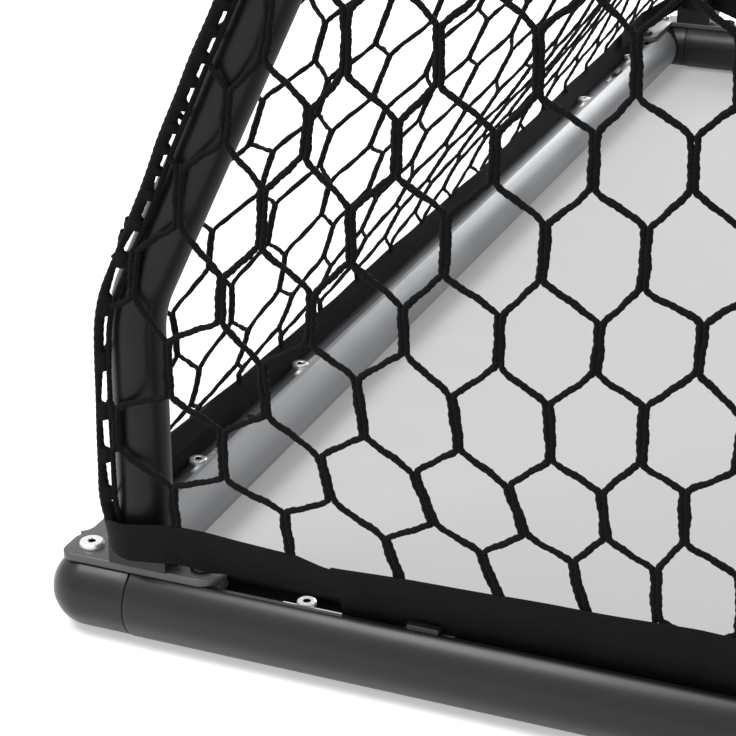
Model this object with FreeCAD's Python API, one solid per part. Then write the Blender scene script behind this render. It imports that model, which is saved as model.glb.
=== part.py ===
import FreeCAD, Part
import math
import os
from FreeCAD import Vector as V

os.makedirs("parts", exist_ok=True)

# Golf chipping net: a small goal-shaped frame of slotted round rails with a
# hexagonal net. Millimetres. Origin at the middle of the footprint on the
# ground, +Z up, the open mouth faces -Y, the ground rail at the back is at +Y.

# Overall layout
RAIL_D = 38.0                  # slotted round rail
HALF_W = 500.0                 # middle plane to a side rail's axis
HALF_L = 220.0                 # middle plane to the rear rail's axis
RAIL_Z = RAIL_D / 2            # axis height of the ground rails
CROSSBAR_Z = 781.0             # axis height of the crossbar

# Slotted rail section, b is measured from the axis towards the slot
RAIL_R = RAIL_D / 2
FLAT_HALF = 9.7                # half width of the flattened slot side
FLAT_B = math.sqrt(RAIL_R ** 2 - FLAT_HALF ** 2)
LAND_STEP = 0.5                # lips lie this far below the round
LIP_HALF = 6.4                 # half of the slot's mouth
LIP_UNDER_B = 13.4
CAVITY_HALF = 9.0
CAVITY_B = 6.5
WEB_B = 4.5                    # underside of the floor below the cavity
RAIL_WALL = 2.0

# Elbow castings
ELBOW_R = 18.7
ELBOW_REACH = 24.5             # crossing of the axes to the seam
PLUG_CLEAR = 0.4
PLUG_LENGTH = 30.0
PLUG_START = 6.0               # crossing of the axes to the tongues' inner ends
ELBOW_SIDES = 24               # flats round an elbow's arm
BALL_STEPS = 6                 # flats round its outer corner, seen from above
SEAT_DEPTH = 15.0              # depth of the crossing screw's hole

# Small round parts and the holes for them are prisms with this many sides
SMALL_SIDES = 12

# Corner plates and their screws
PLATE_T = 4.0
PLATE_HALF = 10.6
PLATE_LEG = 67.0               # crossing of the axes to the rounded end
PLATE_CORNER_R = 9.0
SCREW_AT = 56.0
SCREW_D = 6.0
HOLE_CLEAR = 0.25
HEAD_D = 11.5
HEAD_H = 2.6
SOCKET_AF = 4.0
SOCKET_DEPTH = 1.6
SHANK_LEG = 7.4                # shank below the plate, into a slot nut
SHANK_CROSSING = 14.0          # shank below the plate, into the casting
NUT_LENGTH = 16.0
NUT_HALF = 8.6
NUT_T = 5.0
NUT_GAP = 0.1                  # between a nut and the lips above it

# Bent uprights
TUBE_D = 25.0
TUBE_WALL = 2.0
TUBE_STEP = 22.0               # degrees that one ruled stretch of a bend turns
BORE_SIDES = 12
FOOT_AT = 28.5                 # foot's axis from the rear rail's axis
FOOT_BEND_Z = 162.0
LEAN = math.radians(25.0)
BEND_R = 60.0
BLOCK_L = 28.0
BLOCK_T = 12.0
SPIGOT_D = 20.6
SPIGOT_H = 36.0
LOCK_AF = 8.0
LOCK_HEAD = 4.0
LOCK_D = 5.0
LOCK_OFF = 4.5                 # lock screw lies this far out of the side plane
LOCK_SHANK = 11.0
LOCK_HOLE = 12.0

# Net clips in the slots, distances from the crossing of the axes
FIXED_AT = 110.0
SLIDER_AT = 168.0
SPARE_AT = 236.0
STRIP_L = 28.0
STRIP_T = 1.2
STRIP_W = 6.8
STRIP_EDGE = 8.5               # strip's outer edge from the slot's middle
RIB_T = 1.0
RING_D = 9.0
RING_H = 1.4
RING_OFF = 0.8                 # ring's middle from the slot's middle
HOOK_L = 15.0
HOOK_T = 1.7
HOOK_H = 3.6
CLIP_GAP = 0.2                 # between a clip's strip and the lips above it

# Net and its webbing
NET_T = 2.4
MESH_W = 88.0                  # 2.2 times the real mesh, to keep each net plain
MESH_PITCH = 85.8
MESH_LEG = 58.6
STRAND = 4.0
EDGE = 4.0
HEM_T = 1.6
HEM_IN_B = 10.5                # tucked edge, measured from the rail's axis
HEM_OUT_B = 45.0               # free edge
NET_OFF = 13.2                 # net's inner face from the uprights' axes
SEAM = 0.3                     # free space between a net and its webbing
WRAP_LOW = 43.0
WRAP_R = 19.2
WRAP_END = 134.0
WRAP_CLEAR = 1.7               # wrap's middle outside the net's middle plane
LAP_OFF = 0.9                  # wrap's lap ahead of the rear rail's axis
LAP_START = 62.0
LAP_END = 112.0
WRAP_FROM, WRAP_STEP, WRAP_STEPS = 75.0, 11.5, 11

BLOCK_TOP_B = FLAT_B + PLATE_T + BLOCK_T


def save(name, shape):
    """Write one node."""
    shape.exportStep("parts/%s.step" % name)


def group(solids):
    """Put separate solids in one node."""
    return Part.Compound(solids)


def mirrored(shape):
    """The same piece on the other side of the middle plane."""
    return shape.mirror(V(0, 0, 0), V(1, 0, 0))


def place(shape, origin, x_dir, y_dir):
    """Move a shape from its own axes to an origin with two given axes."""
    z_dir = x_dir.cross(y_dir)
    m = FreeCAD.Matrix(x_dir.x, y_dir.x, z_dir.x, origin.x,
                       x_dir.y, y_dir.y, z_dir.y, origin.y,
                       x_dir.z, y_dir.z, z_dir.z, origin.z, 0, 0, 0, 1)
    return moved(shape, m)


def moved(shape, m):
    """A copy of a shape carried by a rigid matrix."""
    result = shape.copy()
    result.Placement = FreeCAD.Placement(m).multiply(result.Placement)
    return result


def polygon(points, z=0.0):
    vs = [V(a, b, z) for a, b in points]
    return Part.makePolygon(vs + [vs[0]])


def ring_points(sides, radius):
    """Corners of a regular polygon, one side square to +X."""
    turns = [math.pi * (2 * k + 1) / sides for k in range(sides)]
    return [(radius * math.cos(t), radius * math.sin(t)) for t in turns]


def pin(radius, height, at=V(0, 0, 0), sides=SMALL_SIDES):
    """A small round bar along +Z, its corners on the radius."""
    bar = Part.Face(polygon(ring_points(sides, radius))).extrude(V(0, 0, height))
    bar.translate(at)
    return bar


def bore(radius, height, at=V(0, 0, 0), sides=SMALL_SIDES):
    """The tool for a small round hole along +Z, its flats on the radius."""
    return pin(radius / math.cos(math.pi / sides), height, at, sides)


def slotted_bar(length):
    """A rail along +Z of its own axes, its slot towards +Y."""
    f, s = FLAT_HALF, FLAT_B
    chain = [(-f, s), (-f, s - LAND_STEP), (-LIP_HALF, s - LAND_STEP),
             (-LIP_HALF, LIP_UNDER_B), (-CAVITY_HALF, LIP_UNDER_B),
             (-CAVITY_HALF, CAVITY_B), (CAVITY_HALF, CAVITY_B),
             (CAVITY_HALF, LIP_UNDER_B), (LIP_HALF, LIP_UNDER_B),
             (LIP_HALF, s - LAND_STEP), (f, s - LAND_STEP), (f, s)]
    edges = [Part.Arc(V(f, s, 0), V(0, -RAIL_R, 0), V(-f, s, 0)).toShape()]
    for (a, b), (c, d) in zip(chain, chain[1:]):
        edges.append(Part.makeLine(V(a, b, 0), V(c, d, 0)))
    inner_r = RAIL_R - RAIL_WALL
    half = math.sqrt(inner_r ** 2 - WEB_B ** 2)
    hollow = [Part.Arc(V(half, WEB_B, 0), V(0, -inner_r, 0), V(-half, WEB_B, 0)).toShape(),
              Part.makeLine(V(-half, WEB_B, 0), V(half, WEB_B, 0))]
    face = Part.Face(Part.Wire(edges)).cut(Part.Face(Part.Wire(hollow)))
    return face.extrude(V(0, 0, length)).Solids[0]


def bar_between(start, end, slot_dir):
    """A slotted rail from one point to another with its slot facing slot_dir."""
    along = end.sub(start)
    length = along.Length
    along.normalize()
    return place(slotted_bar(length), start, slot_dir.cross(along), slot_dir)


def plug(centre, along, slot_dir):
    """The tongue of an elbow that fills the closed chamber of a rail."""
    r = RAIL_R - RAIL_WALL - PLUG_CLEAR
    top = WEB_B - PLUG_CLEAR
    half = math.sqrt(r * r - top * top)
    low = [(r * math.cos(t), r * math.sin(t))
           for t in (-math.pi * k / 6 for k in range(7))]
    face = Part.Face(polygon([(-half, top), (half, top)] + low, PLUG_START))
    bar = face.extrude(V(0, 0, ELBOW_REACH + PLUG_LENGTH - PLUG_START))
    return place(bar, centre, slot_dir.cross(along), slot_dir)


def corner_ball():
    """The quarter of an elbow that rounds its outer corner, at -X and -Y of its own axes."""
    plan = [math.pi / 2 * k / BALL_STEPS for k in range(BALL_STEPS + 1)]
    rings = []
    for k in range(ELBOW_SIDES // 2):
        t = math.pi * (2 * k + 1) / ELBOW_SIDES
        r, z = ELBOW_R * math.sin(t), -ELBOW_R * math.cos(t)
        rings.append([V(0, 0, z)] + [V(-r * math.cos(p), -r * math.sin(p), z) for p in plan])
    faces = [Part.Face(Part.makePolygon(ring + ring[:1])) for ring in (rings[0], rings[-1])]
    for low, high in zip(rings, rings[1:]):
        for k in range(len(low)):
            m = (k + 1) % len(low)
            quad = [low[k], low[m], high[m], high[k]]
            faces.append(Part.Face(Part.makePolygon(quad + quad[:1])))
    solid = Part.Solid(Part.Shell(faces))
    if solid.Volume < 0:
        solid.reverse()
    return solid


def elbow(centre, dir_a, dir_b, slot_a, slot_b):
    """A round-cornered casting that joins two rails at a right angle."""
    body = place(corner_ball(), centre, dir_a, dir_b)
    for d in (dir_a, dir_b):
        side = dir_a.cross(dir_b)
        arm = pin(ELBOW_R, ELBOW_REACH, sides=ELBOW_SIDES)
        body = body.fuse(place(arm, centre, side, d.cross(side)))
    big = 2 * (ELBOW_R + ELBOW_REACH)
    same_side = (slot_a - slot_b).Length < 1e-6
    if same_side:
        tool = place(Part.makeBox(2 * big, 2 * big, big, V(-big, -big, FLAT_B)),
                     centre, dir_a, slot_a.cross(dir_a))
    else:
        tool = place(Part.makeBox(big, big, 2 * big, V(FLAT_B, FLAT_B, -big)),
                     centre, dir_a, dir_b)
    body = body.cut(tool)
    for d, s in ((dir_a, slot_a), (dir_b, slot_b)):
        body = body.fuse(plug(centre, d, s))
    if same_side:
        seat = bore(SCREW_D / 2 + HOLE_CLEAR, SEAT_DEPTH + 1.0, V(0, 0, FLAT_B - SEAT_DEPTH))
        body = body.cut(place(seat, centre, dir_a, slot_a.cross(dir_a)))
    return body.removeSplitter().Solids[0]


def corner_plate():
    """The flat L plate in its own axes: legs along +X and +Y, underside at z 0."""
    h, leg, rc, ri = PLATE_HALF, PLATE_LEG, PLATE_CORNER_R, 3.0
    s = math.sqrt(0.5)

    def arc(p, q, r):
        return Part.Arc(V(*p, 0), V(*q, 0), V(*r, 0)).toShape()

    def line(p, q):
        return Part.makeLine(V(*p, 0), V(*q, 0))
    c, e = -h + rc, leg - h
    edges = [arc((-h, c), (c - rc * s, c - rc * s), (c, -h)), line((c, -h), (e, -h)),
             arc((e, -h), (leg, 0), (e, h)), line((e, h), (h + ri, h)),
             arc((h + ri, h), (h + ri - ri * s, h + ri - ri * s), (h, h + ri)),
             line((h, h + ri), (h, e)), arc((h, e), (0, leg), (-h, e)), line((-h, e), (-h, c))]
    plate = Part.Face(Part.Wire(edges)).extrude(V(0, 0, PLATE_T))
    for x, y in ((0, 0), (SCREW_AT, 0), (0, SCREW_AT)):
        plate = plate.cut(bore(SCREW_D / 2 + HOLE_CLEAR, PLATE_T, V(x, y, 0)))
    return plate.Solids[0]


def angle_plate():
    """The bent plate inside a front corner, legs along +X and +Y, inner faces at 0."""
    h, reach = PLATE_HALF, PLATE_LEG - FLAT_B
    legs = []
    for swap in (False, True):
        e = reach - h
        edges = [Part.makeLine(V(0, -h, 0), V(e, -h, 0)),
                 Part.Arc(V(e, -h, 0), V(reach, 0, 0), V(e, h, 0)).toShape(),
                 Part.makeLine(V(e, h, 0), V(0, h, 0)), Part.makeLine(V(0, h, 0), V(0, -h, 0))]
        leg = Part.Face(Part.Wire(edges)).extrude(V(0, 0, PLATE_T))
        leg = leg.cut(bore(SCREW_D / 2 + HOLE_CLEAR, PLATE_T, V(SCREW_AT - FLAT_B, 0, 0)))
        if swap:
            legs.append(place(leg, V(0, 0, 0), V(0, 1, 0), V(0, 0, 1)))
        else:
            legs.append(place(leg, V(0, 0, 0), V(1, 0, 0), V(0, 0, -1)))
    return legs[0].fuse(legs[1]).removeSplitter().Solids[0]


def hexagon(across_flats):
    r = across_flats / math.sqrt(3.0)
    return [(r * math.cos(math.radians(60 * k)), r * math.sin(math.radians(60 * k)))
            for k in range(6)]


def socket_screw(shank):
    """A low-headed socket screw, underside of its head at z 0, shank downwards."""
    head = pin(HEAD_D / 2, HEAD_H)
    drive = Part.Face(polygon(hexagon(SOCKET_AF), HEAD_H - SOCKET_DEPTH))
    head = head.cut(drive.extrude(V(0, 0, SOCKET_DEPTH)))
    return head.fuse(pin(SCREW_D / 2, shank, V(0, 0, -shank))).removeSplitter()


def slot_nut():
    """The square nut that the screws draw up under the lips, screw axis at the origin."""
    nut = Part.makeBox(NUT_LENGTH, 2 * NUT_HALF, NUT_T,
                       V(-NUT_LENGTH / 2, -NUT_HALF, LIP_UNDER_B - NUT_T - NUT_GAP))
    return nut.cut(bore(SCREW_D / 2 + NUT_GAP, RAIL_R))


def socket_block():
    """The block with its spigot that an upright's end stands on, axes as the plate's."""
    z = FLAT_B + PLATE_T
    body = Part.makeBox(BLOCK_L, 2 * PLATE_HALF, BLOCK_T,
                        V(FOOT_AT - BLOCK_L / 2, -PLATE_HALF, z))
    body = body.fuse(pin(SPIGOT_D / 2, SPIGOT_H, V(FOOT_AT, 0, z + BLOCK_T)))
    mouth = V(FOOT_AT + BLOCK_L / 2 - LOCK_HOLE, -LOCK_OFF, z + BLOCK_T / 2)
    hole = place(bore(LOCK_D / 2 + NUT_GAP, LOCK_HOLE + 1.0), mouth, V(0, 1, 0), V(0, 0, 1))
    return body.cut(hole).removeSplitter().Solids[0]


def lock_screw():
    """The hex-headed screw in the end of a socket block."""
    x = FOOT_AT + BLOCK_L / 2
    z = FLAT_B + PLATE_T + BLOCK_T / 2
    head = Part.Face(polygon(hexagon(LOCK_AF))).extrude(V(0, 0, LOCK_HEAD))
    screw = head.fuse(pin(LOCK_D / 2, LOCK_SHANK, V(0, 0, -LOCK_SHANK))).removeSplitter()
    return place(screw, V(x, -LOCK_OFF, z), V(0, 1, 0), V(0, 0, 1))


def stations(points, radius, step):
    """Centres and directions along a line whose corners are rounded to one radius."""
    found = [(points[0], (points[1] - points[0]).normalize())]
    for before, corner, after in zip(points, points[1:], points[2:]):
        a, b = (corner - before).normalize(), (after - corner).normalize()
        turn = math.degrees(math.acos(a.dot(b)))
        axis = a.cross(b).normalize()
        first = corner - a * (radius * math.tan(math.radians(turn / 2)))
        centre = first + axis.cross(a) * radius
        count = max(2, round(turn / step))
        for k in range(count + 1):
            spin = FreeCAD.Rotation(axis, turn * k / count)
            found.append((centre + spin.multVec(first - centre), spin.multVec(a)))
    found.append((points[-1], (points[-1] - points[-2]).normalize()))
    return found


def bent_tube(points, radius, outer, wall):
    """A tube through points with rounded bends, a ruled loft with a plain bore."""
    flats = (outer / 2 - wall) / math.cos(math.pi / BORE_SIDES)
    skins, bores = [], []
    for centre, along in stations(points, radius, TUBE_STEP):
        skins.append(Part.Wire(Part.Circle(centre, along, outer / 2).toShape()))
        ring = polygon(ring_points(BORE_SIDES, flats))
        side = V(1, 0, 0)
        bores.append(place(ring, centre, side, along.cross(side)))
    solid = Part.makeLoft(skins, True, True).cut(Part.makeLoft(bores, True, True))
    return solid.removeSplitter().Solids[0]


# The four corner frames of the left half: origin, leg direction a, leg direction b
# and the direction that the slots face.
LEFT_REAR = (V(-HALF_W, HALF_L, RAIL_Z), V(0, -1, 0), V(1, 0, 0), V(0, 0, 1))
LEFT_TOP = (V(-HALF_W, -HALF_L, CROSSBAR_Z), V(0, 0, -1), V(1, 0, 0), V(0, 1, 0))
LEFT_FRONT = V(-HALF_W, -HALF_L, RAIL_Z)


def at_corner(shape, corner, lift=0.0):
    """Place a piece drawn in the plate's axes (X and Y along the legs, Z to the slot)."""
    origin, a, b, s = corner
    if (a.cross(b) - s).Length > 1e-6:
        return place(shape.mirror(V(0, 0, 0), V(0, 1, 0)), origin + s * lift, a, b * -1)
    return place(shape, origin + s * lift, a, b)


# Rails, posts and crossbar
up, back = V(0, 0, 1), V(0, 1, 0)
near = HALF_W - ELBOW_REACH
save("rear_rail", bar_between(V(-near, HALF_L, RAIL_Z), V(near, HALF_L, RAIL_Z), up))
save("crossbar", bar_between(V(-near, -HALF_L, CROSSBAR_Z), V(near, -HALF_L, CROSSBAR_Z), back))
side_rail = bar_between(V(-HALF_W, HALF_L - ELBOW_REACH, RAIL_Z),
                        V(-HALF_W, -HALF_L + ELBOW_REACH, RAIL_Z), up)
front_post = bar_between(V(-HALF_W, -HALF_L, RAIL_Z + ELBOW_REACH),
                         V(-HALF_W, -HALF_L, CROSSBAR_Z - ELBOW_REACH), back)

# Elbows
rear_elbow = elbow(LEFT_REAR[0], LEFT_REAR[1], LEFT_REAR[2], up, up)
top_elbow = elbow(LEFT_TOP[0], LEFT_TOP[1], LEFT_TOP[2], back, back)
front_elbow = elbow(LEFT_FRONT, back, up, up, back)

# Plates, nuts and screws
flat_plate = corner_plate()
rear_plate = at_corner(flat_plate, LEFT_REAR, FLAT_B)
top_plate = at_corner(flat_plate, LEFT_TOP, FLAT_B)
inner_corner = LEFT_FRONT + V(0, FLAT_B, FLAT_B)
front_angle = place(angle_plate(), inner_corner, back, up)

crossing_screws, leg_screws, nuts = [], [], []
for corner in (LEFT_REAR, LEFT_TOP):
    for x, y in ((0, 0), (SCREW_AT, 0), (0, SCREW_AT)):
        screw = socket_screw(PLATE_T + (SHANK_LEG if x + y else SHANK_CROSSING))
        screw.translate(V(x, y, FLAT_B + PLATE_T))
        (leg_screws if x + y else crossing_screws).append(at_corner(screw, corner))
        if x + y:
            nut = slot_nut()
            if y:
                nut.rotate(V(0, 0, 0), V(0, 0, 1), 90)
            nut.translate(V(x, y, 0))
            nuts.append(at_corner(nut, corner))
for along, out in ((back, up), (up, back)):
    foot = LEFT_FRONT + along * SCREW_AT
    screw = socket_screw(PLATE_T + SHANK_LEG)
    leg_screws.append(place(screw, foot + out * (FLAT_B + PLATE_T), along, out.cross(along)))
    nuts.append(place(slot_nut(), foot, along, out.cross(along)))

# Uprights with their sockets and lock screws
low_block = at_corner(socket_block(), LEFT_REAR)
high_block = at_corner(socket_block(), LEFT_TOP)
locks = [at_corner(lock_screw(), LEFT_REAR), at_corner(lock_screw(), LEFT_TOP)]
foot_y, run_z = HALF_L - FOOT_AT, CROSSBAR_Z - FOOT_AT
knee_y = foot_y - (run_z - FOOT_BEND_Z) * math.tan(LEAN)
upright = bent_tube([V(-HALF_W, foot_y, RAIL_Z + BLOCK_TOP_B), V(-HALF_W, foot_y, FOOT_BEND_Z),
                     V(-HALF_W, knee_y, run_z), V(-HALF_W, -HALF_L + BLOCK_TOP_B, run_z)],
                    BEND_R, TUBE_D, TUBE_WALL)

for name, shape in (("side_rail", side_rail), ("front_post", front_post),
                    ("rear_elbow", rear_elbow), ("top_elbow", top_elbow),
                    ("front_elbow", front_elbow), ("rear_corner_plate", rear_plate),
                    ("top_corner_plate", top_plate), ("front_angle_plate", front_angle),
                    ("foot_socket", low_block), ("top_socket", high_block),
                    ("rear_upright", upright)):
    save(name + "_left", shape)
    save(name + "_right", mirrored(shape))
for name, shapes in (("crossing_screws", crossing_screws), ("leg_screws", leg_screws),
                     ("slot_nuts", nuts), ("lock_screws", locks)):
    save(name, group(shapes + [mirrored(s) for s in shapes]))


# Net clips. Own axes: X along the slot, Z towards its mouth, the rail's axis at
# Y 0 and Z 0. They keep to negative Y and leave the rest to the webbing.
STRIP_Z = LIP_UNDER_B - STRIP_T - CLIP_GAP
RIB_Y = CLIP_GAP - LIP_HALF
RING_END = 0.5                 # strip's end to the ring
RING_DRIVE = 3.4


def clip_strip():
    """The flat strip under the lips, with the rib that runs along one lip's edge."""
    strip = Part.makeBox(STRIP_L, STRIP_W, STRIP_T, V(-STRIP_L / 2, -STRIP_EDGE, STRIP_Z))
    rib = Part.makeBox(STRIP_L, RIB_T, RING_H, V(-STRIP_L / 2, RIB_Y, STRIP_Z + STRIP_T))
    return strip.fuse(rib).removeSplitter().Solids[0]


def clip_ring():
    """The round eyelet near one end of a fixed clip."""
    at = V(-STRIP_L / 2 + RING_D / 2 + RING_END, -RING_OFF, STRIP_Z + STRIP_T)
    ring = pin(RING_D / 2, RING_H, at)
    gap = CLIP_GAP / 2
    rib = Part.makeBox(STRIP_L, RIB_T + 2 * gap, 2 * RING_H, V(-STRIP_L / 2, RIB_Y - gap, at.z))
    drive = Part.Face(polygon(hexagon(RING_DRIVE))).extrude(V(0, 0, RING_H))
    drive.translate(at + V(0, 0, RING_H / 3))
    return ring.cut(drive).cut(rib).Solids[0]


def clip_hook():
    """The block on a sliding clip that the net's edge hooks on to."""
    return Part.makeBox(HOOK_L, HOOK_T, HOOK_H,
                        V(-HOOK_L / 2, RIB_Y + RIB_T + CLIP_GAP / 2, STRIP_Z + STRIP_T))


def clip_at(shape, corner, leg, distance, free):
    """Place a clip on a leg of a corner, on the side of the slot that free points to."""
    along = corner[1 + leg]
    across = corner[3].cross(along)
    if across.dot(free) > 0:
        shape = shape.mirror(V(0, 0, 0), V(0, 1, 0))
    return place(shape, corner[0] + along * distance, along, across)


out, forward, down = V(-1, 0, 0), V(0, -1, 0), V(0, 0, -1)
fixed = [(LEFT_REAR, 0, FIXED_AT, out), (LEFT_REAR, 1, FIXED_AT, forward),
         (LEFT_REAR, 1, SPARE_AT, forward)]
for name, draw in (("clip_strips", clip_strip), ("clip_rings", clip_ring)):
    row = [clip_at(draw(), *where) for where in fixed]
    save(name, group(row + [mirrored(s) for s in row]))
for rail, leg, free in (("side", 0, out), ("rear", 1, forward)):
    for name, draw in (("slider_strip", clip_strip), ("slider_hook", clip_hook)):
        piece = clip_at(draw(), LEFT_REAR, leg, SLIDER_AT, free)
        save("%s_%s_left" % (name, rail), piece)
        save("%s_%s_right" % (name, rail), mirrored(piece))


# Webbing, tucked in a slot and leaning out to the net's edge
def webbing(start, end, slot_dir, lean_dir, tuck, reach):
    """A flat band along a rail, tuck and reach are its two edges' side offsets."""
    low, high = V(tuck, HEM_IN_B, 0), V(reach, HEM_OUT_B, 0)
    half = (high - low).cross(V(0, 0, 1)).normalize() * (HEM_T / 2)
    section = [low - half, high - half, high + half, low + half]
    face = Part.Face(Part.makePolygon(section + section[:1]))
    along = end - start
    length = along.Length
    band = face.extrude(V(0, 0, length))
    along.normalize()
    if lean_dir.cross(slot_dir).dot(along) < 0:
        start, along = end, along * -1
    return place(band, start, lean_dir, slot_dir)


NET_MID = NET_OFF + NET_T / 2
CLEAR_END = PLATE_LEG + 5.0
SIDE_START = FIXED_AT + STRIP_L / 2 + 0.5
side_web = webbing(LEFT_REAR[0] + forward * SIDE_START, LEFT_FRONT + back * CLEAR_END,
                   up, out, -0.8, NET_MID)
post_web = webbing(LEFT_FRONT + up * CLEAR_END, LEFT_TOP[0] + down * CLEAR_END,
                   back, out, -0.8, NET_MID)
reach_x = HALF_W - CLEAR_END
save("webbing_rear", webbing(V(-reach_x, HALF_L, RAIL_Z), V(reach_x, HALF_L, RAIL_Z),
                             up, back, 5.0, 1.0))
save("webbing_crossbar", webbing(V(-reach_x, -HALF_L, CROSSBAR_Z),
                                 V(reach_x, -HALF_L, CROSSBAR_Z), back, down, -0.8,
                                 FOOT_AT - NET_MID))


def corner_wrap():
    """The band that goes round the outside of an upright's foot, seen from above."""
    centre = [LEFT_REAR[0] + forward * WRAP_END + out * (NET_MID + WRAP_CLEAR)]
    foot = LEFT_REAR[0] + forward * FOOT_AT
    for k in range(WRAP_STEPS):
        t = math.radians(WRAP_FROM + WRAP_STEP * k)
        centre.append(foot + forward * (WRAP_R * math.cos(t)) + out * (WRAP_R * math.sin(t)))
    centre += [LEFT_REAR[0] + forward * LAP_OFF - out * at for at in (LAP_START, LAP_END)]
    sides = []
    for sign in (1, -1):
        edge = []
        for k, p in enumerate(centre):
            t = centre[min(k + 1, len(centre) - 1)] - centre[max(k - 1, 0)]
            n = V(-t.y, t.x, 0).normalize() * (sign * HEM_T / 2)
            edge.append(V(p.x + n.x, p.y + n.y, WRAP_LOW))
        sides.append(edge)
    loop = sides[0] + sides[1][::-1]
    face = Part.Face(Part.makePolygon(loop + loop[:1]))
    return face.extrude(V(0, 0, RAIL_Z + HEM_OUT_B - SEAM - WRAP_LOW))


wrap = corner_wrap()
for name, shape in (("webbing_side", side_web), ("webbing_post", post_web),
                    ("webbing_corner", wrap)):
    save(name + "_left", shape)
    save(name + "_right", mirrored(shape))


# Net panels
def inset(poly, guard, distance):
    """Clip a convex polygon by the edges of a convex guard moved inwards."""
    for (ax, ay), (bx, by) in zip(guard, guard[1:] + guard[:1]):
        length = math.hypot(bx - ax, by - ay)
        nx, ny = -(by - ay) / length, (bx - ax) / length

        def depth(p):
            return (p[0] - ax) * nx + (p[1] - ay) * ny - distance
        kept = []
        for p, q in zip(poly, poly[1:] + poly[:1]):
            dp, dq = depth(p), depth(q)
            if dp >= 0:
                kept.append(p)
            if dp * dq < 0:
                t = dp / (dp - dq)
                kept.append((p[0] + t * (q[0] - p[0]), p[1] + t * (q[1] - p[1])))
        poly = kept
        if len(poly) < 3:
            return []
    return poly


def tidy(poly, least=1.5):
    """Drop corners that lie almost on top of the next one, and slivers."""
    out_poly = [p for p, q in zip(poly, poly[1:] + poly[:1])
                if math.hypot(p[0] - q[0], p[1] - q[1]) > least]
    area = abs(sum(p[0] * q[1] - q[0] * p[1] for p, q in
                   zip(out_poly, out_poly[1:] + out_poly[:1]))) / 2
    return out_poly if len(out_poly) > 2 and area > 40.0 else []


def net_panel(outline):
    """A flat net inside a convex outline, given anticlockwise, its middle at Z 0."""
    rise = MESH_PITCH - MESH_LEG
    w, g = MESH_W / 2, MESH_LEG / 2
    cell = [(0, -g - rise), (w, -g), (w, g), (0, g + rise), (-w, g), (-w, -g)]
    cell = inset(cell, cell, STRAND / 2)
    xs, ys = [p[0] for p in outline], [p[1] for p in outline]
    wires = [polygon(outline)]
    for j in range(int((max(ys) - min(ys)) / MESH_PITCH) + 2):
        for i in range(-1, int((max(xs) - min(xs)) / MESH_W) + 2):
            cx = min(xs) + (i + 0.5 * (j % 2)) * MESH_W
            cy = min(ys) + j * MESH_PITCH
            hole = tidy(inset([(x + cx, y + cy) for x, y in cell], outline, EDGE))
            if hole:
                wires.append(polygon(hole))
    face = Part.makeFace(wires, "Part::FaceMakerBullseye")
    sheet = face.extrude(V(0, 0, NET_T))
    sheet.translate(V(0, 0, -NET_T / 2))
    return sheet.Solids[0]


bottom = HEM_OUT_B + SEAM
seam_u = FOOT_AT - NET_MID
upper_start = (FOOT_AT - NET_MID * math.cos(LEAN),
               FOOT_BEND_Z - RAIL_Z + NET_MID * math.sin(LEAN))
top_b = CROSSBAR_Z - RAIL_Z - FOOT_AT + NET_MID
upper_len = (top_b - upper_start[1]) / math.cos(LEAN)
upper_end_u = upper_start[0] + upper_len * math.sin(LEAN)
front_u = 2 * HALF_L - HEM_OUT_B - SEAM
side_outline = [(-1.0, bottom), (front_u, bottom), (front_u, top_b), (upper_end_u, top_b),
                (upper_start[0] - 0.4, upper_start[1])]
side_net = place(net_panel(side_outline), LEFT_REAR[0] + out * NET_MID, forward, up)
save("side_net_left", side_net)
save("side_net_right", mirrored(side_net))

half = HALF_W + NET_OFF - SEAM
low_start = V(-half, HALF_L + 1.0, RAIL_Z + bottom)
low_end = V(-half, HALF_L - upper_start[0], RAIL_Z + upper_start[1] - 1.0)
slope = low_end - low_start
rise = slope.Length
slope.normalize()
low_net = place(net_panel([(0, 0), (2 * half, 0), (2 * half, rise), (0, rise)]),
                low_start, V(1, 0, 0), slope)
save("rear_net_lower", low_net)
lean = V(0, -math.sin(LEAN), math.cos(LEAN))
start = V(-half, HALF_L - upper_start[0], RAIL_Z + upper_start[1]) + lean * 0.6
high = upper_len - 2.4
save("rear_net_upper", place(net_panel([(0, 0), (2 * half, 0), (2 * half, high), (0, high)]),
                             start, V(1, 0, 0), lean))
roof = front_u - upper_end_u - 0.4
save("top_net", place(net_panel([(0, 0), (2 * half, 0), (2 * half, roof), (0, roof)]),
                      V(-half, HALF_L - upper_end_u - 0.4, RAIL_Z + top_b), V(1, 0, 0), forward))
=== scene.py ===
"""Golf chipping net: finishes, twine net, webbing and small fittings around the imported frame."""
from __future__ import annotations

import logging
import math
from dataclasses import dataclass
from enum import Enum

import bmesh
import bpy
import numpy as np
from mathutils import Matrix, Vector


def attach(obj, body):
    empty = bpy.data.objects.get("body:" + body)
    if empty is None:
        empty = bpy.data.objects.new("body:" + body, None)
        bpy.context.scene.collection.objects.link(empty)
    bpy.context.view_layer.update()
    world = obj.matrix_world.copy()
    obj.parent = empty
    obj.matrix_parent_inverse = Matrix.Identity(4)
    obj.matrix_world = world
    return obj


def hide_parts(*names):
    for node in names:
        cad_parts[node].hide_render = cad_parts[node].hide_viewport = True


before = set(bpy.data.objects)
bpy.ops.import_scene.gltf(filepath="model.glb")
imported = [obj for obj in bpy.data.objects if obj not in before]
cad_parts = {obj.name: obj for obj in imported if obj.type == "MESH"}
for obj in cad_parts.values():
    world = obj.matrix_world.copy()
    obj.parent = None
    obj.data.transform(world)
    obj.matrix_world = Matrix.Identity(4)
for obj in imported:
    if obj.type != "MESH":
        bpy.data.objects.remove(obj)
LOG = logging.getLogger("chipping_net")
BODY = "frame"
LUMP = 0.0036


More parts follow.
